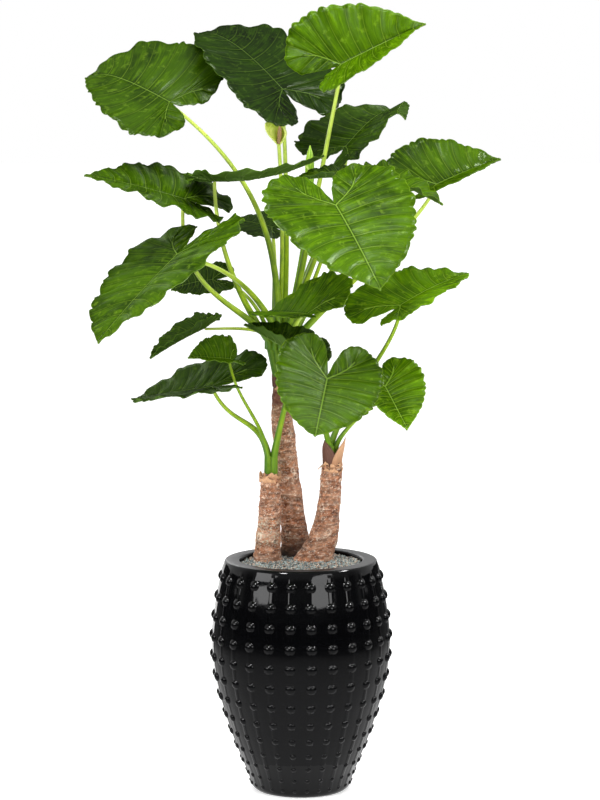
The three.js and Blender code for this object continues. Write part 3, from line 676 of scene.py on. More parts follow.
def stem_skin(name, u, z):
    """Height of the bark, its small relief, which sets the painted shade in its hollows, and how pale it is,
    for the turn u and height z.
    """
    seed = SEED + 10 * sorted(STEMS).index(name)

    def bumps(nu, nv, step, turn=u):
        return lattice(turn, z / BARK_UNIT, nu, nv, seed + step)

    sway = 8 * bumps(3, 12, 0) + 3.5 * bumps(9, 30, 1)
    ring = np.mod((z + sway) / RING_PITCH + 0.6 * bumps(1, 16, 2, u * 0), 1)
    patchy = 0.25 + 0.75 * ease(0.5 + 0.9 * bumps(7, 22, 9))
    step = 1.5 * patchy * (1 - ring) ** 2 - 0.5
    rough = 0.8 * bumps(26, 70, 3) + 0.7 * bumps(60, 150, 4)
    height = step + rough + 1.6 * bumps(6, 14, 5)
    # The relief shapes nothing; it sets where shade is painted into the bark's hollows.
    relief = step + 0.55 * rough
    pale = 0.35 * ease((0.16 - ring) / 0.16) + 0.25 * bumps(40, 110, 6)
    rng = np.random.default_rng(seed + 7)
    for _ in range(SCARS):
        centre_u = rng.uniform()
        centre_z = rng.uniform(z.min() + SCARS_FROM, z.max())
        wide = rng.uniform(*SCAR_HALVES)
        tall = wide * rng.uniform(0.8, 1.5)
        du = np.abs(u - centre_u)
        du = np.minimum(du, 1 - du) * TURN * STEM_RADIUS
        away = np.hypot(du / wide, (z - centre_z) / tall)
        wall = np.exp(-((away - 0.8) ** 2) * 16)
        height = height + 1.3 * wall - 0.5 * (away < 0.5)
        relief = relief + 0.4 * wall - 0.9 * np.exp(-((away - 0.45) ** 2) * 30)
        pale = pale + rng.uniform(0.15, 0.6) * wall + 0.4 * np.exp(-(away**2) * 30)
    return height, relief, np.clip(pale, 0, 1)


def stem_shell(name, levels):
    heights = np.append(np.arange(levels[0][0], levels[-1][0], STEM_STEP), levels[-1][0])
    u, z = np.meshgrid(np.arange(STEM_SIDES) / STEM_SIDES, heights)
    x, y, a, b = columns_at(levels, z)
    height, relief, pale = stem_skin(name, u, z)
    grow = height * (0.25 + 0.75 * ease((z.max() - z) / TOP_FADE))
    px = x + (a + grow) * np.cos(TURN * u)
    py = y + (b + grow) * np.sin(TURN * u)
    ends = [[x[0, 0], y[0, 0], heights[0]], [x[-1, 0], y[-1, 0], heights[-1]]]
    points = np.concatenate([np.stack([px, py, z], -1).reshape(-1, 3), ends])
    spotted = ease((SPOTS[1] - z) / SPOT_FADES[1]) * ease((z - SPOTS[0]) / SPOT_FADES[0])
    fields = {
        "pale": pale,
        "relief": relief,
        "neck": ease((z - NECK_FROM) / NECK_FADE) * (name == "middle"),
        # Painted shade: the middle stem darkens towards its foot.
        "damp": ease((FOOT_SHADE_TO - z) / FOOT_SHADE_FADE) * (name == "middle"),
        "spotted": spotted * (name == "left"),
    }
    fields = {key: np.append(value, [0, 0]) for key, value in fields.items()}
    return points, capped(len(heights), STEM_SIDES), fields


def bark():
    look = Look("ringed_bark")
    fibre = look.noise(look.place((1, 1, 2.6)), 70.0, 8.0, 0.62)
    fleck = look.noise(look.place((1, 1, 1.4)), 210.0, 4.0, 0.6)
    patch = look.noise(look.place(), 26.0, 3.0)
    spots = look.span(look.noise(look.place(), 260.0, 3.0, 0.6), 0.53, 0.61, 0, 0.6)
    worn = look.math("ADD", look.value("pale"), look.span(fleck, 0.57, 0.68, 0, 0.8), clamp=True)
    colour = look.layers(
        look.mix(look.span(fibre, 0.38, 0.62), (0.130, 0.038, 0.016), (0.56, 0.235, 0.115)),
        (look.span(patch, 0.44, 0.66, 0, 0.5), (0.60, 0.36, 0.23)),
        (worn, (0.92, 0.78, 0.62)),
        # Painted shade: dark brown where the relief sinks, in the grooves under the rings and round the
        # scars.
        (look.span("relief", -1.3, 0.2, 0.8, 0.0), (0.045, 0.020, 0.012)),
        (look.times(spots, look.value("spotted")), (0.50, 0.56, 0.43)),
        # Painted shade: near-black, in patches, over the foot of the middle stem.
        (look.times(look.value("damp"), look.span(patch, 0.35, 0.6, 0.6, 1)), (0.020, 0.018, 0.014)),
    )
    smooth = look.mix(look.span(fibre, 0.35, 0.65), (0.085, 0.026, 0.016), (0.200, 0.075, 0.050))
    return look.finish(
        Base_Color=look.mix(look.times(look.value("neck"), 0.85), colour, smooth),
        Roughness=look.span(fibre, 0.3, 0.7, 0.72, 0.92),
        Specular_IOR_Level=0.25,
        Normal=look.bump(look.math("ADD", fibre, look.times(fleck, 0.6)), 0.004, 0.85),
    )


def make_stems():
    material = bark()
    for name, levels in STEMS.items():
        body = Body()
        body.add(*stem_shell(name, levels))
        body.piece(f"stem_{name}_bark", [material], [f"stem_{name}"])


# Leaf stalks

CROWNS = {
    "left": {"x": -74, "y": 35, "low": 762, "top": 795, "pull": 0.75, "swell": 1.25},
    "middle": {"x": -46, "y": 72, "low": 966, "top": 1075, "pull": 0.22, "swell": 1.0},
    "right": {"x": 76, "y": 30, "low": 788, "top": 822, "pull": 0.8, "swell": 1.25},
}
SOCKET_SINK = 15.6
STALK_COLLAR = 5
STALK_SINK = 5.5
STALK_STEPS = 46
STALK_SIDES = 16
STALK_GROOVE = 0.12
STALK_TIP = 2.2
TIP_SINK = 2
SHORT_STALK = 0.38


def socket_place(shoot):
    crown = CROWNS[shoot["crown"]]
    a = math.radians(shoot["angle"])
    x = crown["x"] + shoot["ring"] * math.cos(a)
    y = crown["y"] + shoot["ring"] * math.sin(a)
    return np.array([x, y, crown["top"]], float)


def stalk_path(shoot, end, normal, sink):
    root = socket_place(shoot)
    p0 = root + [0, 0, STALK_COLLAR]
    p1, p2 = (np.array(p, float) for p in shoot["handles"])
    t = np.linspace(0, 1, STALK_STEPS)[:, None]
    s = 1 - t
    curve = p0 * s**3 + 3 * p1 * s * s * t + 3 * p2 * s * t * t + end * t**3
    return np.concatenate([[root - [0, 0, SOCKET_SINK]], curve - normal * sink * t**4])


def tube(path, radii, sides, groove=0.0):
    """A closed tube, with an optional groove along it."""
    run = unit(np.gradient(path, axis=0))
    across = np.zeros_like(path)
    last = np.array([1.0, 0, 0])
    for k in range(len(path)):
        last = last - run[k] * last.dot(run[k])
        last = last / np.linalg.norm(last)
        across[k] = last
    other = np.cross(run, across)
    turn = np.arange(sides) * TURN / sides
    shape = 1 - groove * np.exp(-((np.cos(turn / 2 - math.pi / 4)) ** 2) * 8)
    r = radii[:, None] * shape
    points = path[:, None, :] + across[:, None, :] * (r * np.cos(turn))[..., None]
    points = points + other[:, None, :] * (r * np.sin(turn))[..., None]
    rows = len(path)
    share = np.append(np.repeat(np.linspace(0, 1, rows), sides), [0, 1])
    around = np.append(np.tile(np.arange(sides) / sides, rows), [0, 0])
    points = np.concatenate([points.reshape(-1, 3), path[:1], path[-1:]])
    return points, capped(rows, sides), {"share": share, "around": around}


def stalk_radii(path, root, top, swell=1.6):
    return between((top, root), (1 - np.linspace(0, 1, len(path))) ** swell)


# Leaf blades

# Each vein: where it leaves the midrib or the rib of the back lobe, and where it meets the edge.
VEINS = np.array([
    (1.0, 0.0, 1.0, 0.0), (0.86, 0.0, 0.91, 0.055), (0.7, 0.0, 0.78, 0.19), (0.54, 0.0, 0.64, 0.33),
    (0.39, 0.0, 0.48, 0.455), (0.25, 0.0, 0.31, 0.555), (0.12, 0.0, 0.12, 0.62), (0.0, 0.0, -0.09, 0.64),
    (-0.09, 0.11, -0.28, 0.59), (-0.19, 0.21, -0.43, 0.47), (-0.3, 0.27, -0.52, 0.3),
    (-0.19, 0.21, -0.47, 0.14), (-0.09, 0.11, -0.3, 0.06), (0.0, 0.0, -0.07, 0.0),
])
LAST_VEIN = len(VEINS) - 1
VEIN_MARKS = np.arange(len(VEINS))
RIB_CORNERS = np.array([(1, 0), (0, 0), (-0.09, 0.11), (-0.19, 0.21), (-0.3, 0.27)], float)
# Where the first veins meet the edge of a blade with a blunt tip.
BLUNT_EDGE = np.array([
    (1.0, 0.0), (0.96, 0.12), (0.86, 0.28), (0.73, 0.42), (0.57, 0.53), (0.38, 0.605), (0.17, 0.64),
    (-0.07, 0.645),
])
VEIN_STEPS = 16
REACH_STEPS = 12
REACH_CROWDING = 1.35
BEND_STEPS = 24
BLADE_HALF = 0.6
BLADE_UNIT = 260
KEEL_DEPTH = 3.0
QUILT = 3.2
SCALLOP = 0.050
SCALLOP_RISE = 0.014
SCALLOPS = 1.6
EDGE_NICKS = 0.012
NICKS = 31
UNEVENNESS = 19
VEIN_ARCH = 0.035
FRILL = 0.8
FRILLS = 26
FAR_SIDE_PHASE = 1.3
FAR_SIDE_TURN = 20
SIDE_BACK_FROM = 0.06
NO_VEIN = 40
BOX_GAP = 0.4
BOX_EASE = 80


def blade_axes(leaf):
    """Directions of the blade: m to the tip, n out of the top face, w across."""
    h, t, r = (math.radians(leaf[key]) for key in ("heading", "toward", "roll"))
    m = np.array([math.cos(t) * math.cos(h), -math.sin(t), math.cos(t) * math.sin(h)])
    front = np.array([0.0, -1.0, 0.0])
    facing = unit(front - m * front.dot(m))
    n = facing * math.cos(r) + np.cross(m, facing) * math.sin(r)
    return m, n, np.cross(n, m)


def bend_angle(leaf, x):
    front = math.radians(leaf["bend"]) * x + math.radians(leaf["hook"]) * x**3
    return np.where(x < 0, math.radians(leaf["lobes"]) * x, front)


def bend_travel(leaf, x):
    ahead = np.zeros_like(x)
    drop = np.zeros_like(x)
    for k in range(BEND_STEPS):
        a = bend_angle(leaf, x * (k + 0.5) / BEND_STEPS)
        ahead += np.cos(a) * x / BEND_STEPS
        drop += np.sin(a) * x / BEND_STEPS
    return ahead, drop


def edge_curve(leaf, side, s):
    """The smooth outline of a flat half blade."""
    ends = VEINS[:, 2:].copy()
    blunt = leaf["blunt"][0 if side > 0 else 1]
    ends[: len(BLUNT_EDGE)] += blunt * (BLUNT_EDGE - ends[: len(BLUNT_EDGE)])
    return spline(VEIN_MARKS, ends[:, 0], s), np.maximum(spline(VEIN_MARKS, ends[:, 1], s), 0)


def half_blade(leaf, side, seed):
    """Points of one half as a grid, with what the material has to know about each."""
    s = np.linspace(0, LAST_VEIN, LAST_VEIN * VEIN_STEPS + 1)[:, None]
    c = (np.linspace(0, 1, REACH_STEPS + 1) ** REACH_CROWDING)[None, :]
    ox, oy = (np.interp(s, VEIN_MARKS, VEINS[:, k]) for k in (0, 1))
    ex, ey = edge_curve(leaf, side, s)
    outer = ease(s / 1.2) * ease((LAST_VEIN - s) / 1.5)
    uneven = 0.35 * lattice(s / LAST_VEIN, s * 0, UNEVENNESS, 1, seed + 3)
    notch = SCALLOP * (np.abs(np.sin(math.pi * SCALLOPS * (s + uneven))) - 0.75)
    notch = notch + EDGE_NICKS * lattice(s / LAST_VEIN, s * 0, NICKS, 1, seed)
    reach = c * (1 + notch * outer * c**2)
    arch = -VEIN_ARCH * np.sin(math.pi * np.clip(c, 0, 1)) * ease(s / 2) * ease((8 - s) / 2)
    x = ox + (ex - ox) * reach + arch
    y = oy + (ey - oy) * reach
    flat = np.stack([x, y * leaf["width"]], -1) * leaf["length"]
    along_s = np.gradient(flat, axis=0) * VEIN_STEPS
    along_c = unit(np.gradient(flat, axis=1))
    apart = np.abs(along_s[..., 0] * along_c[..., 1] - along_s[..., 1] * along_c[..., 0])
    whole = s + 0 * c
    nearest = np.round(whole)
    main = np.where((nearest == LAST_VEIN) | (nearest == 0), NO_VEIN, np.abs(whole - nearest) * apart)
    fields = {
        "rib": rib_gap(x, y, leaf),
        "vein": main,
        "minor": np.abs(whole - 0.5 - np.round(whole - 0.5)) * apart,
        "edge": (1 - c) * np.hypot(ex - ox, ey - oy) * leaf["length"],
        "turn": whole + (FAR_SIDE_TURN if side < 0 else 0),
        "reach": c + 0 * s,
    }
    fine = 0.25 * (1 - np.abs(np.cos(TURN * whole))) * ease(c * 3)
    quilt = np.abs(np.sin(math.pi * whole)) ** 1.3 * ease(c * 5) * (1 - 0.5 * c) + fine
    return blade_points(leaf, x, y, c, s, side, seed), fields, quilt, np.stack([x, side * y], -1)


def rib_gap(x, y, leaf):
    """Distance in millimetres from the midrib or the rib of the back lobe."""
    p = np.stack([x, y], -1)
    best = np.full(x.shape, 1e9)
    for a, b in zip(RIB_CORNERS, RIB_CORNERS[1:]):
        t = np.clip(((p - a) @ (b - a)) / ((b - a) @ (b - a)), 0, 1)
        best = np.minimum(best, np.linalg.norm(p - a - t[..., None] * (b - a), axis=-1))
    return best * leaf["length"]


def back_at(leaf, y, side):
    """How far the lobe of a side goes back; both sides agree at the midrib."""
    left, right = leaf["back"]
    own = left if side > 0 else right
    return between(((left + right) / 2, own), np.clip(y / SIDE_BACK_FROM, 0, 1))


def blade_points(leaf, x, y, reach, vein, side, seed):
    m, n, w = leaf["axes"]
    fold = math.radians(leaf["fold"][0 if side > 0 else 1])
    px = np.where(x < 0, x * back_at(leaf, y, side), x)
    across = y * leaf["width"]
    ahead, drop = bend_travel(leaf, px)
    slope = bend_angle(leaf, px)
    edge = np.sqrt(np.maximum(0, np.sin(math.pi * vein / LAST_VEIN)))
    phase = FAR_SIDE_PHASE if side < 0 else 0
    wave = leaf["ruffle"] * reach**2 * edge * np.cos(math.pi * vein + phase)
    folds = lattice(vein / LAST_VEIN, vein * 0 + side, FRILLS, 3, seed + 5)
    frill = FRILL * leaf["ruffle"] * reach**3 * edge * folds
    frill = frill + SCALLOP_RISE * reach**3 * edge * np.cos(TURN * vein + 0.8 * side)
    rise = across * math.sin(fold) + wave + frill
    size = leaf["length"]
    p = np.array(leaf["at"], float) + m * (size * (ahead + rise * np.sin(slope)))[..., None]
    p = p + n * (size * (rise * np.cos(slope) - drop))[..., None]
    return p + w * (size * side * across * math.cos(fold))[..., None]


def weld(flat, faces):
    """Joins points that share a place on the flat blade, and drops the faces that this closes."""
    keys = np.round(flat, 5) + 0.0
    _, first, same = np.unique(keys, axis=0, return_index=True, return_inverse=True)
    joined = []
    for face in same.reshape(-1)[faces]:
        corners = [a for a, b in zip(face, np.roll(face, 1)) if a != b]
        if len(set(corners)) >= 3:
            joined.append(corners)
    return first, joined


def point_normals(points, faces):
    corners = np.array([(*f, f[-1]) if len(f) == 3 else tuple(f) for f in faces])
    a, b, c, d = (points[corners[:, k]] for k in range(4))
    facing = np.cross(c - a, d - b)
    normals = np.zeros_like(points)
    for k in range(4):
        np.add.at(normals, corners[:, k], facing)
    return unit(normals)


def hold_inside(points):
    """Eases a leaf that would reach out of the part's own box back into it."""
    for axis in range(3):
        for sign, limit in ((1, cad_high[axis] / MM), (-1, -cad_low[axis] / MM)):
            reach = sign * points[:, axis]
            over = reach.max() - limit + BOX_GAP
            if over > 0:
                share = np.clip((reach - reach.max()) / BOX_EASE + 1, 0, 1) ** 2
                points[:, axis] -= sign * over * share
    return points


def blade_shell(leaf, seed):
    """The whole blade as a closed thin body: top face, lower face and edge."""
    halves = [half_blade(leaf, side, seed + side) for side in (1, -1)]
    rows, columns = halves[0][0].shape[:2]
    quads = grid_faces(rows, columns)
    every = np.concatenate([quads[:, [0, 3, 2, 1]], quads + rows * columns])
    points = np.concatenate([h[0].reshape(-1, 3) for h in halves])
    flat = np.concatenate([h[3].reshape(-1, 2) for h in halves])
    quilt = np.concatenate([h[2].ravel() for h in halves])
    first, faces = weld(flat, every)
    points = points[first]
    fields = {k: np.concatenate([h[1][k].ravel() for h in halves])[first] for k in halves[0][1]}
    normals = point_normals(points, faces)
    if (normals @ leaf["axes"][1]).mean() < 0:
        faces = [f[::-1] for f in faces]
        normals = -normals
    scale = leaf["length"] / BLADE_UNIT
    rib = np.exp(-((fields["rib"] / (3.4 * scale + 1)) ** 2))
    swell = QUILT * scale * quilt[first, None]
    top = points + normals * (BLADE_HALF + swell + 0.9 * rib[:, None])
    keel = KEEL_DEPTH * rib + 0.9 * scale * np.exp(-((fields["vein"] / 2.5) ** 2))
    low = points + normals * (swell - BLADE_HALF - keel[:, None])
    points, sheet, both = close_sheet(top, low, faces, fields)
    return hold_inside(points), sheet, both


# Leaves. Width, back, blunt, ruffle and fold shape the blade, and fold lifts each half.
# Bend and hook curve it down to the tip, and lobes curves its back.
# Stalk gives the stalk's radius at its foot and at the blade, and tone runs from dark to bright green:
# partly each leaf's own green, partly painted light and shade, darker for leaves in shade and brighter for
# lit and backlit ones.
PLAIN_BLADE = {
    "width": 1, "back": (1, 1), "hook": 0, "lobes": 10, "ruffle": 0.02, "blunt": (0.5, 0.5),
    "stalk": (9.5, 4.2), "tone": 0.4,
}


def plan_shoot(socket, handles, **more):
    """A shoot by its socket, which is crown, ring and angle, and the handles of its stalk's curve."""
    crown, ring, angle = socket
    return {**PLAIN_BLADE, "crown": crown, "ring": ring, "angle": angle, "handles": handles, **more}


def plan_leaf(socket, handles, at, length, turned, bend, fold, **more):
    """A leaf whose midrib starts at a point. Turned is its heading from +X up to +Z, then how far the
    tip comes toward the front, then its roll, in degrees."""
    heading, toward, roll = turned
    more.update(at=at, length=length, heading=heading, toward=toward, roll=roll, bend=bend, fold=fold)
    return plan_shoot(socket, handles, **more)


LEAVES = {
    "leaf_top_left": plan_leaf(
        ("middle", 13.5, 216), [(-40, 85, 1360), (-147, 110, 1515)], (-315, 110, 1650), 278, (152, -25, 42),
        10, (14, 8), width=1.02, back=(0.6, 0.5), blunt=(0, 0.7), hook=45, tone=0.35,
    ),
    "leaf_top_middle": plan_leaf(
        ("middle", 32, 90), [(-28, 110, 1250), (-35, 150, 1535)], (-45, 160, 1680), 278, (132, -20, 48),
        15, (12, 2), back=(0.75, 0.75), blunt=(1, 1), hook=30, tone=-0.12,
    ),
    "leaf_top_right": plan_leaf(
        ("middle", 13.5, 0), [(10, 60, 1285), (60, 10, 1540)], (95, -30, 1740), 224, (28, 18, -22),
        10, (22, 52), back=(1, 0.4), blunt=(0.2, 0.2), tone=1.0,
    ),
    "leaf_upper_dark": plan_leaf(
        ("middle", 32, 60), [(5, 130, 1270), (108, 200, 1400)], (110, 230, 1540), 235, (48, -30, -58),
        5, (10, 18), back=(0.5, 0.75), blunt=(0.3, 0.3), hook=85, tone=0.12,
    ),
    "leaf_upper_right": plan_leaf(
        ("middle", 32, 0), [(55, 62, 1170), (275, 60, 1345)], (325, 60, 1455), 205, (24, -25, -25),
        18, (5, 62), width=0.95, back=(1.1, 1.1), blunt=(0, 0), tone=0.66,
    ),
    "leaf_ruffled": plan_leaf(
        ("middle", 32, 30), [(25, 80, 1205), (160, -25, 1355)], (205, -78, 1475), 150, (-20, 25, -60),
        10, (10, 40), width=0.5, ruffle=0.045, stalk=(8, 3.6), tone=0.9,
    ),
    "leaf_edge_on": plan_leaf(
        ("middle", 32, 180), [(-150, 80, 1180), (-203, -40, 1320)], (-203, -40, 1470), 268, (-2, 0, -101),
        -30, (8, 0), width=0.7, back=(0.5, 0.5), ruffle=0.015, tone=0.6,
    ),
    "leaf_front_middle": plan_leaf(
        ("middle", 13.5, 288), [(0, 55, 1195), (75, -80, 1390)], (80, -220, 1420), 252, (-58, 38, -36),
        10, (12, 4), width=1.12, back=(0.75, 0.85), ruffle=0.015, tone=0.85,
    ),
    "leaf_long_left": plan_leaf(
        ("middle", 32, 210), [(-145, 50, 1180), (-300, 0, 1190)], (-275, -40, 1425), 243, (162, 10, 75),
        8, (8, 7), back=(0.7, 1), lobes=25, blunt=(0.2, 0.2),
    ),
    "leaf_front_left": plan_leaf(
        ("middle", 32, 270), [(-98, 118, 1185), (-160, -120, 1275)], (-285, -195, 1305), 315, (223, 38, 60),
        8, (15, -8), back=(0.78, 0.85), ruffle=0.015, tone=0.6,
    ),
    "leaf_back_grey": plan_leaf(
        ("middle", 32, 120), [(-65, 125, 1175), (-60, 190, 1265)], (-70, 200, 1345), 130, (167, -40, 62),
        10, (10, 5), tone=0.1,
    ),
    "leaf_small_back_left": plan_leaf(
        ("middle", 32, 150), [(-100, 110, 1175), (-165, 130, 1225)], (-215, 150, 1220), 105, (185, 0, 65),
        20, (0, 10), stalk=(6, 3),
    ),
    "leaf_narrow_left": plan_leaf(
        ("middle", 32, 240), [(-85, 30, 1120), (-165, -10, 1115)], (-228, -30, 1122), 155, (203, 20, 85),
        10, (22, 22), width=0.72, back=(0.5, 0.5), stalk=(6, 3),
    ),
    "leaf_small_left": plan_leaf(
        ("left", 8.8, 240), [(-90, 0, 900), (-152, -152, 955)], (-165, -150, 1057), 105, (170, 25, 60),
        10, (30, 19), back=(0.4, 0.4), stalk=(5.6, 3.2), tone=0.85,
    ),
    "leaf_low_left": plan_leaf(
        ("left", 8.8, 120), [(-95, 30, 905), (-165, -50, 880)], (-210, -90, 985), 240, (191, -36, 68),
        5, (24, 3), width=0.9, blunt=(0.8, 0.8), stalk=(9, 4.2), tone=0.25,
    ),
    "leaf_low_middle": plan_leaf(
        ("left", 8.8, 0), [(-50, 10, 890), (-25, -90, 980)], (-10, -120, 1067), 150, (150, -20, 60),
        5, (45, 7), back=(0.85, 0.85), stalk=(9.5, 4.5),
    ),
    "leaf_low_front": plan_leaf(
        ("right", 8.8, 240), [(45, 0, 895), (55, -170, 965)], (60, -250, 1022), 155, (257, 40, 0),
        5, (5, 20), width=1.3, back=(1.2, 1.25), blunt=(0.6, 1.2), lobes=-30, ruffle=0.015,
        stalk=(8, 4), tone=0.85,
    ),
    "leaf_small_right": plan_leaf(
        ("right", 8.8, 0), [(95, 20, 870), (165, 0, 920)], (200, -40, 980), 125, (-61, 33, -15),
        5, (5, 45), width=1.2, ruffle=0.015, stalk=(6.5, 3.2), tone=2.3,
    ),
    "leaf_right_middle": plan_leaf(
        ("right", 8.8, 120), [(110, 40, 965), (225, -30, 1065)], (235, -60, 1175), 222, (30, -30, -50),
        18, (0, 32), width=0.9, back=(1, 0.8), stalk=(8, 4.2), tone=1.95,
    ),
    "leaf_centre_left": plan_leaf(
        ("middle", 32, 300), [(-10, 20, 1150), (15, -80, 1165)], (15, -143, 1162), 185, (182, -58, 48),
        5, (45, 3), width=1.1, back=(0.9, 1.1), tone=1.8,
    ),
    "leaf_centre_back": plan_leaf(
        ("middle", 32, 330), [(15, 50, 1200), (85, -20, 1345)], (102, -60, 1480), 118, (178, 15, 80),
        10, (25, 15), width=0.75, back=(0.7, 0.7), stalk=(7, 3.2),
    ),
}
SPEAR = plan_shoot(("middle", 13.5, 72), [(-10, 80, 1200), (12, 76, 1330)], foot=(20, 75, 1440))
FLOWER = plan_shoot(("middle", 13.5, 144), [(-42, 92, 1200), (-42, 95, 1400)], foot=(-53, 95, 1552))
LEAF_SEED = SEED + 100

# Colours of a blade: dark, middle, light, pale and rib, each for the tones 0 and 1.
BLADE_COLOURS = [
    ((0.004, 0.011, 0.0006), (0.018, 0.048, 0.0010)),
    ((0.014, 0.036, 0.0010), (0.062, 0.145, 0.0016)),
    ((0.042, 0.095, 0.002), (0.150, 0.300, 0.003)),
    ((0.090, 0.165, 0.012), (0.240, 0.400, 0.022)),
    ((0.090, 0.165, 0.020), (0.22, 0.38, 0.035)),
]
BLADE_GLOW = 0.22
BLADE_GLOSS = 0.015
GLOSS_COLOUR = (0.85, 1.0, 0.72, 1)


def blade_look(name, tone):
    look = Look(f"{name}_blade")
    # The tone paints each leaf's light and shade as well as its own green.
    dark, mid, light, pale, spine = ([between(c, tone) for c in zip(*ends)] for ends in BLADE_COLOURS)
    bright = min(max(tone, 0), 1)
    turn, reach = look.value("turn"), look.value("reach")
    place = look.place()
    streak = look.streaks((turn, 2.6), (reach, 1.3), 1.6, 5.0, 0.62)
    hair = look.streaks((turn, 17.0), (reach, 2.6), 1.0, 3.0, 0.6)
    cloud = look.noise(place, 9.0, 4.0, 0.6)
    blotch = look.noise(place, 58.0, 3.0, 0.55)
    fading = look.span(reach, 0.1, 1.0, 0.66 - 0.16 * bright, 0.16)
    line = look.times(look.span("vein", 0.3, 1.3, 1, 0), fading)
    thin = look.times(look.span("minor", 0.3, 1.5, 1, 0), look.span(reach, 0.1, 1.0, 0.36, 0.08))
    rib = look.span("rib", 0.6, 1.9, 0.85, 0)
    below = look.layers(
        look.mix(look.span(cloud, 0.35, 0.7), (0.045, 0.095, 0.012), (0.080, 0.155, 0.020)),
        (look.math("ADD", line, rib, clamp=True), (0.20, 0.31, 0.075)),
    )
    colour = look.layers(
        look.mix(look.span(cloud, 0.36, 0.56), dark, mid),
        (look.span(streak, 0.50, 0.70, 0, 0.65), light),
        (look.span(hair, 0.50, 0.72, 0, 0.25), light),
        (look.span(blotch, 0.58, 0.70, 0, 0.38), pale),
        # Painted shade: darker in the sunken gutters beside the veins, the small veins and the ribs.
        (look.span("vein", 1.5, 7.0, 0.44 + 0.10 * bright, 0), dark),
        (look.span("minor", 1.5, 5.0, 0.2, 0), dark),
        (look.span("rib", 2.4, 6.5, 0.75, 0), dark),
        (line, pale),
        (thin, light),
        (look.span("edge", 0.4, 2.0, 0.45, 0), pale),
        (rib, spine),
        (look.value("under"), below),
    )
    relief = look.math("ADD", look.times(hair, 0.5), look.times(streak, 0.6))
    normal = look.bump(relief, 0.0022, 0.65)
    look.finish(Base_Color=colour, Roughness=0.5, Specular_IOR_Level=0.0, Normal=normal)
    look.cover("ShaderNodeBsdfTranslucent", {"Color": colour, "Normal": normal}, BLADE_GLOW)
    gloss = {"Color": GLOSS_COLOUR, "Roughness": look.span(streak, 0.3, 0.7, 0.25, 0.14), "Normal": normal}
    look.cover("ShaderNodeBsdfGlossy", gloss, BLADE_GLOSS * (1.1 - 0.5 * bright))
    return look.material


def stalk_look():
    look = Look("leaf_stalk")
    share, around = look.value("share"), look.value("around")
    streak = look.streaks((around, 26.0), (share, 6.0), 1.0, 3.0)
    cloud = look.noise(look.place(), 24.0, 3.0)
    shaded_flank = look.math("ABSOLUTE", look.math("SUBTRACT", around, 0.55))
    colour = look.layers(
        look.mix(look.span(cloud, 0.4, 0.65), (0.240, 0.385, 0.006), (0.440, 0.610, 0.014)),
        (look.span(streak, 0.48, 0.72, 0, 0.8), (0.640, 0.790, 0.090)),
        # Painted shade: a dark green band down one side of each stalk.
        (look.span(shaded_flank, 0.06, 0.20, 0.75, 0), (0.045, 0.120, 0.005)),
        (look.span(share, 0.40, 0.85, 0, 0.6), (0.640, 0.790, 0.150)),
        (look.span(share, 0.0, 0.40, 0.85, 0), (0.050, 0.150, 0.006)),
    )
    normal = look.bump(streak, 0.0012, 0.4)
    return look.finish(Base_Color=colour, Roughness=0.36, Specular_IOR_Level=0.25, Normal=normal)


def make_leaves(stalk_material):
    for index, (name, grown) in enumerate(LEAVES.items()):
        axes = blade_axes(grown)
        end = np.array(grown["at"], float)
        body = Body()
        body.add(*blade_shell({**grown, "axes": axes}, LEAF_SEED + 7 * index))
        path = stalk_path(grown, end, axes[1], STALK_SINK)
        path = np.concatenate([path, [end - axes[1] * TIP_SINK]])
        radii = stalk_radii(path, *grown["stalk"])
        radii[-1] = STALK_TIP
        points, faces, fields = tube(path, radii, STALK_SIDES, STALK_GROOVE)
        fields["share"] *= 1 if grown["crown"] == "middle" else SHORT_STALK
        body.add(points, faces, fields, kind=1)
        look = blade_look(name, grown["tone"])
        body.piece(f"{name}_green", [look, stalk_material], [name])


# Crowns: green sheaths that wrap the feet of the stalks, and their dry papery remains

BASE_SIDES = 22
BASE_STEPS = 20
BASE_SHARE = 0.05
BASE_TOP = 9
BASE_DEPTH = 10
BASE_SPARE = 0.3
# Each torn collar: middle, height of its foot, radii at foot and top, height and seed.
COLLARS = {
    "left": [((-74, 35), 748, (18.5, 25), 24, 3), ((-74, 35), 738, (19.5, 25), 20, 8)],
    "middle": [((-47, 73), 958, (17.5, 19), 16, 5)],
    "right": [((76, 30), 776, (22, 23.5), 24, 11), ((76, 30), 766, (23, 26), 14, 14)],
}
# Each pointed sheath: middle, azimuth, half width in degrees, foot, height, radii at foot and tip, sway.
SHEATHS = {
    "left": [],
    "middle": [((-50, 75), 190, 62, 968, 60, (18, 25), 10), ((-46, 72), 262, 30, 968, 44, (19, 25), -4)],
    "right": [
        ((76, 30), 232, 84, 782, 62, (22.5, 22), -6),
        ((76, 30), 330, 66, 784, 66, (22.5, 26), 8),
        ((76, 30), 205, 24, 787, -11, (21, 37), 0),
    ],
}
COLLAR_GRID = (12, 110)
SHEATH_GRID = (26, 22)
PAPER_HALF = 0.6


def stalk_base(name, shoot):
    """The foot of a stalk, gathered with the others towards the middle of the crown."""
    crown = CROWNS[name]
    root = socket_place(shoot) + [0, 0, BASE_TOP]
    middle = np.array([crown["x"], crown["y"], 0.0])
    foot = middle + (root - middle) * [crown["pull"], crown["pull"], 0]
    foot[2] = crown["low"] - BASE_DEPTH
    t = np.linspace(0, 1, BASE_STEPS)[:, None]
    level = foot + (root - foot) * t**1.25
    level[:, 2] = between((foot[2], root[2]), t[:, 0])
    high = shoot["stalk"][0] + BASE_SPARE
    return tube(level, between((high * crown["swell"], high), t[:, 0]), BASE_SIDES, STALK_GROOVE)


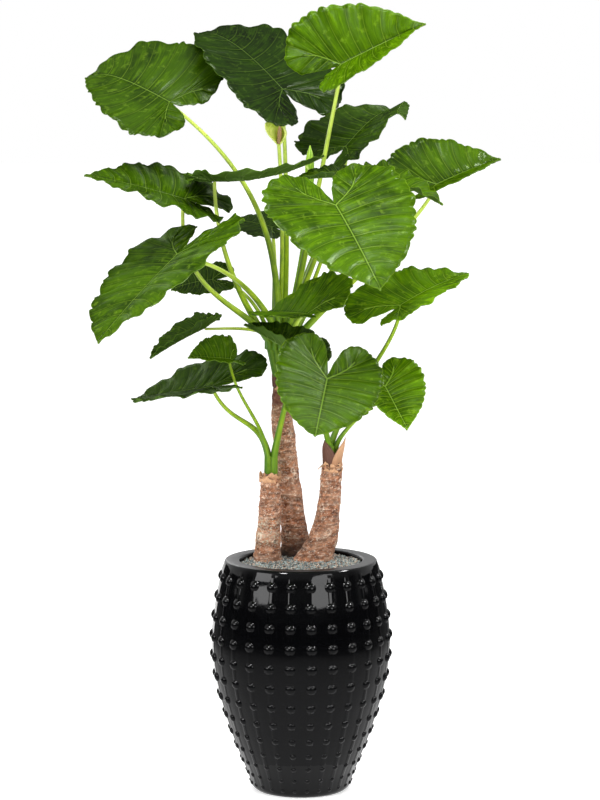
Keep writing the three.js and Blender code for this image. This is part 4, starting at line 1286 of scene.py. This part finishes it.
def sheath_look(name, low, high):
    look = Look(name)
    share, around = look.value("share"), look.value("around")
    streak = look.streaks((around, 40.0), (share, 2.5), 1.0, 4.0)
    base = look.mix(look.span(share, 0.0, 0.6), low, high)
    dark = [0.55 * c for c in high]
    return look.finish(
        Base_Color=look.mix(look.span(streak, 0.4, 0.7, 0.7, 0), base, dark),
        Roughness=0.6,
        Specular_IOR_Level=0.2,
        Normal=look.bump(streak, 0.002, 0.6),
    )


def paper(r, a, z, middle, around, share, closed=False):
    """A thin sheet with two faces, at the radius r and the angle a about the middle."""
    faces = []
    for shift in (PAPER_HALF, -PAPER_HALF):
        x = middle[0] + (r + shift) * np.cos(a)
        y = middle[1] + (r + shift) * np.sin(a)
        faces.append(np.stack([x, y, z + 0 * x], -1).reshape(-1, 3))
    fields = {"around": around, "share": share}
    fields = {key: np.broadcast_to(value, r.shape).ravel() for key, value in fields.items()}
    return close_sheet(*faces, grid_faces(*r.shape, closed).tolist(), fields)


def torn_collar(middle, foot, radii, height, seed):
    """A thin papery ring with a ragged top that stands off the stem."""
    rows, columns = COLLAR_GRID
    turn = np.arange(columns)[None, :] / columns
    v = np.linspace(0, 1, rows)[:, None]
    spikes = lattice(turn, turn * 0, 27, 1, seed + 1) ** 3
    ragged = 0.55 + 0.3 * lattice(turn, turn * 0, 9, 1, seed) + 0.7 * spikes
    z = foot + height * v * np.clip(ragged, 0.12, 1.3)
    puff = 1.4 * lattice(turn, v, 14, 2, seed + 2) * v
    return paper(between(radii, v**1.5) + puff, TURN * turn, z, middle, turn, v, closed=True)


def pointed_sheath(middle, azimuth, half, foot, height, radii, sway):
    """A tapering sheath that wraps one side of the crown and ends in a point."""
    rows, columns = SHEATH_GRID
    u = np.linspace(-1, 1, columns)[None, :]
    v = np.linspace(0, 1, rows)[:, None]
    turn = math.radians(azimuth) + math.radians(half) * np.maximum(1 - v**1.6, 0.02) * u
    r = between(radii, v) + 0.7 * np.sin(9 * u + 3 * v)
    z = foot + height * v + 2 * u * v
    return paper(r, turn, z, (middle[0] + sway * v**2, middle[1]), u * 0.2, v)


def make_crowns(green):
    dry = sheath_look("dry_sheath", (0.110, 0.042, 0.026), (0.160, 0.072, 0.048))
    torn = sheath_look("torn_paper", (0.30, 0.120, 0.055), (0.70, 0.400, 0.220))
    for name in CROWNS:
        body = Body()
        for grown in [*LEAVES.values(), SPEAR, FLOWER]:
            if grown["crown"] == name:
                points, faces, fields = stalk_base(name, grown)
                fields["share"] *= BASE_SHARE
                body.add(points, faces, fields)
        for collar in COLLARS[name]:
            body.add(*torn_collar(*collar), kind=1)
        for index, sheath in enumerate(SHEATHS[name]):
            body.add(*pointed_sheath(*sheath), kind=2 if index == 0 else 1)
        body.piece(f"crown_{name}_sheath", [green, torn, dry], [f"crown_{name}"])


# Young rolled leaf and flower

SHOOT_RADII = (6.2, 4.5)
SHOOT_STEPS = 36
SPEAR_PROFILE = [(0, 4.5), (10, 8.5), (45, 11), (85, 8), (108, 1.2)]
SPEAR_LEAN = (0.02, 0)
SPEAR_SIDES = 28
SPIKE_PROFILE = [(-4, 4.0), (8, 5.2), (34, 4.8), (46, 1.4)]
SPIKE_LEAN = (0.08, -0.35)
SPIKE_SIDES = 20
HOOD_ROWS = 26
HOOD_COLUMNS = 30
HOOD_HEIGHT = 62
HOOD_LEAN = 40
HOOD_OPEN = (150, 105)
HOOD_HALF = 0.9
HOOD_WIDTHS = (3, 21)
HOOD_LEFT = 14
HOOD_SINK = 4
HOOD_POINT = 24
CURL_FROM = 0.7
CURL = 10


def shoot_tube(grown, profile, lean):
    foot = np.array(grown["foot"], float)
    path = stalk_path(grown, foot, np.zeros(3), 0)
    radii = stalk_radii(path, *SHOOT_RADII)
    rise = np.linspace(1.5, profile[-1][0], SHOOT_STEPS)
    tip = foot + np.stack([rise * lean[0], rise * lean[1], rise], -1)
    body = columns_at(profile, rise)[0]
    return np.concatenate([path, tip]), np.concatenate([radii, np.maximum(body, 1.0)])


def young_look():
    look = Look("rolled_leaf")
    share, around = look.value("share"), look.value("around")
    wrap = look.math("FRACT", look.math("ADD", look.times(share, 3.0), around))
    streak = look.streaks((around, 30.0), (share, 8.0), 1.0, 3.0)
    green = look.mix(look.span(streak, 0.4, 0.7), (0.16, 0.34, 0.012), (0.42, 0.62, 0.05))
    return look.finish(
        Base_Color=look.mix(look.span(wrap, 0.0, 0.10, 0.9, 0), green, (0.66, 0.80, 0.22)),
        Roughness=0.38,
        Specular_IOR_Level=0.2,
        Normal=look.bump(wrap, 0.001, 0.4),
    )


def make_young_leaf(stalk_material):
    body = Body()
    body.add(*tube(*shoot_tube(SPEAR, SPEAR_PROFILE, SPEAR_LEAN), SPEAR_SIDES))
    body.piece("young_leaf_rolled", [young_look(), stalk_material], ["young_leaf"])


def hood_points(shift):
    x, y, z = FLOWER["foot"]
    v = np.linspace(0, 1, HOOD_ROWS)[:, None]
    u = np.linspace(0, 1, HOOD_COLUMNS)[None, :]
    half = between(HOOD_OPEN, v)
    a = np.radians(90 - half + 2 * half * u)
    size = HOOD_WIDTHS[0] + HOOD_WIDTHS[1] * np.sin(math.pi * 0.75 * v) + shift
    curl = np.where(v > CURL_FROM, -CURL * (v - CURL_FROM) * np.sin(math.pi * u), 0)
    x = x - HOOD_LEFT * v * v + size * np.cos(a)
    y = y + size * np.sin(a) + curl - HOOD_LEAN * v
    z = z - HOOD_SINK + HOOD_HEIGHT * v - np.abs(u - 0.5) * HOOD_POINT * v
    return np.stack([x, y, z], -1).reshape(-1, 3)


def petal_look():
    look = Look("hood_petal")
    streak = look.noise(look.place((1, 1, 0.2)), 160.0, 3.0)
    colour = look.mix(look.span(streak, 0.35, 0.7), (0.60, 0.76, 0.07), (0.92, 0.97, 0.32))
    return look.finish(Base_Color=colour, Roughness=0.45, Normal=look.bump(streak, 0.001, 0.4))


def spike_look():
    look = Look("flower_spike")
    beads = look.cells(look.place(), 480.0)
    colour = look.mix(look.span(beads, 0.1, 0.6), (0.88, 0.58, 0.44), (0.58, 0.30, 0.22))
    return look.finish(Base_Color=colour, Roughness=0.55, Normal=look.bump(beads, 0.0012, 0.9))


def make_flower(stalk_material):
    body = Body()
    faces = grid_faces(HOOD_ROWS, HOOD_COLUMNS).tolist()
    body.add(*close_sheet(hood_points(HOOD_HALF), hood_points(-HOOD_HALF), faces, {}))
    path, radii = shoot_tube(FLOWER, SPIKE_PROFILE, SPIKE_LEAN)
    split = STALK_STEPS + 1
    body.add(*tube(path[:split], radii[:split], STALK_SIDES), kind=1)
    body.add(*tube(path[split - 1 :], radii[split - 1 :], SPIKE_SIDES), kind=2)
    body.piece("flower_hood", [petal_look(), stalk_material, spike_look()], ["flower"])


# The whole scene

bpy.context.scene.view_settings.view_transform = "Standard"
make_camera()
make_floor()
make_cloth()
make_sky()
make_lights()
make_pot()
make_filling()
make_stems()
stalks = stalk_look()
make_leaves(stalks)
make_crowns(stalks)
make_young_leaf(stalks)
make_flower(stalks)
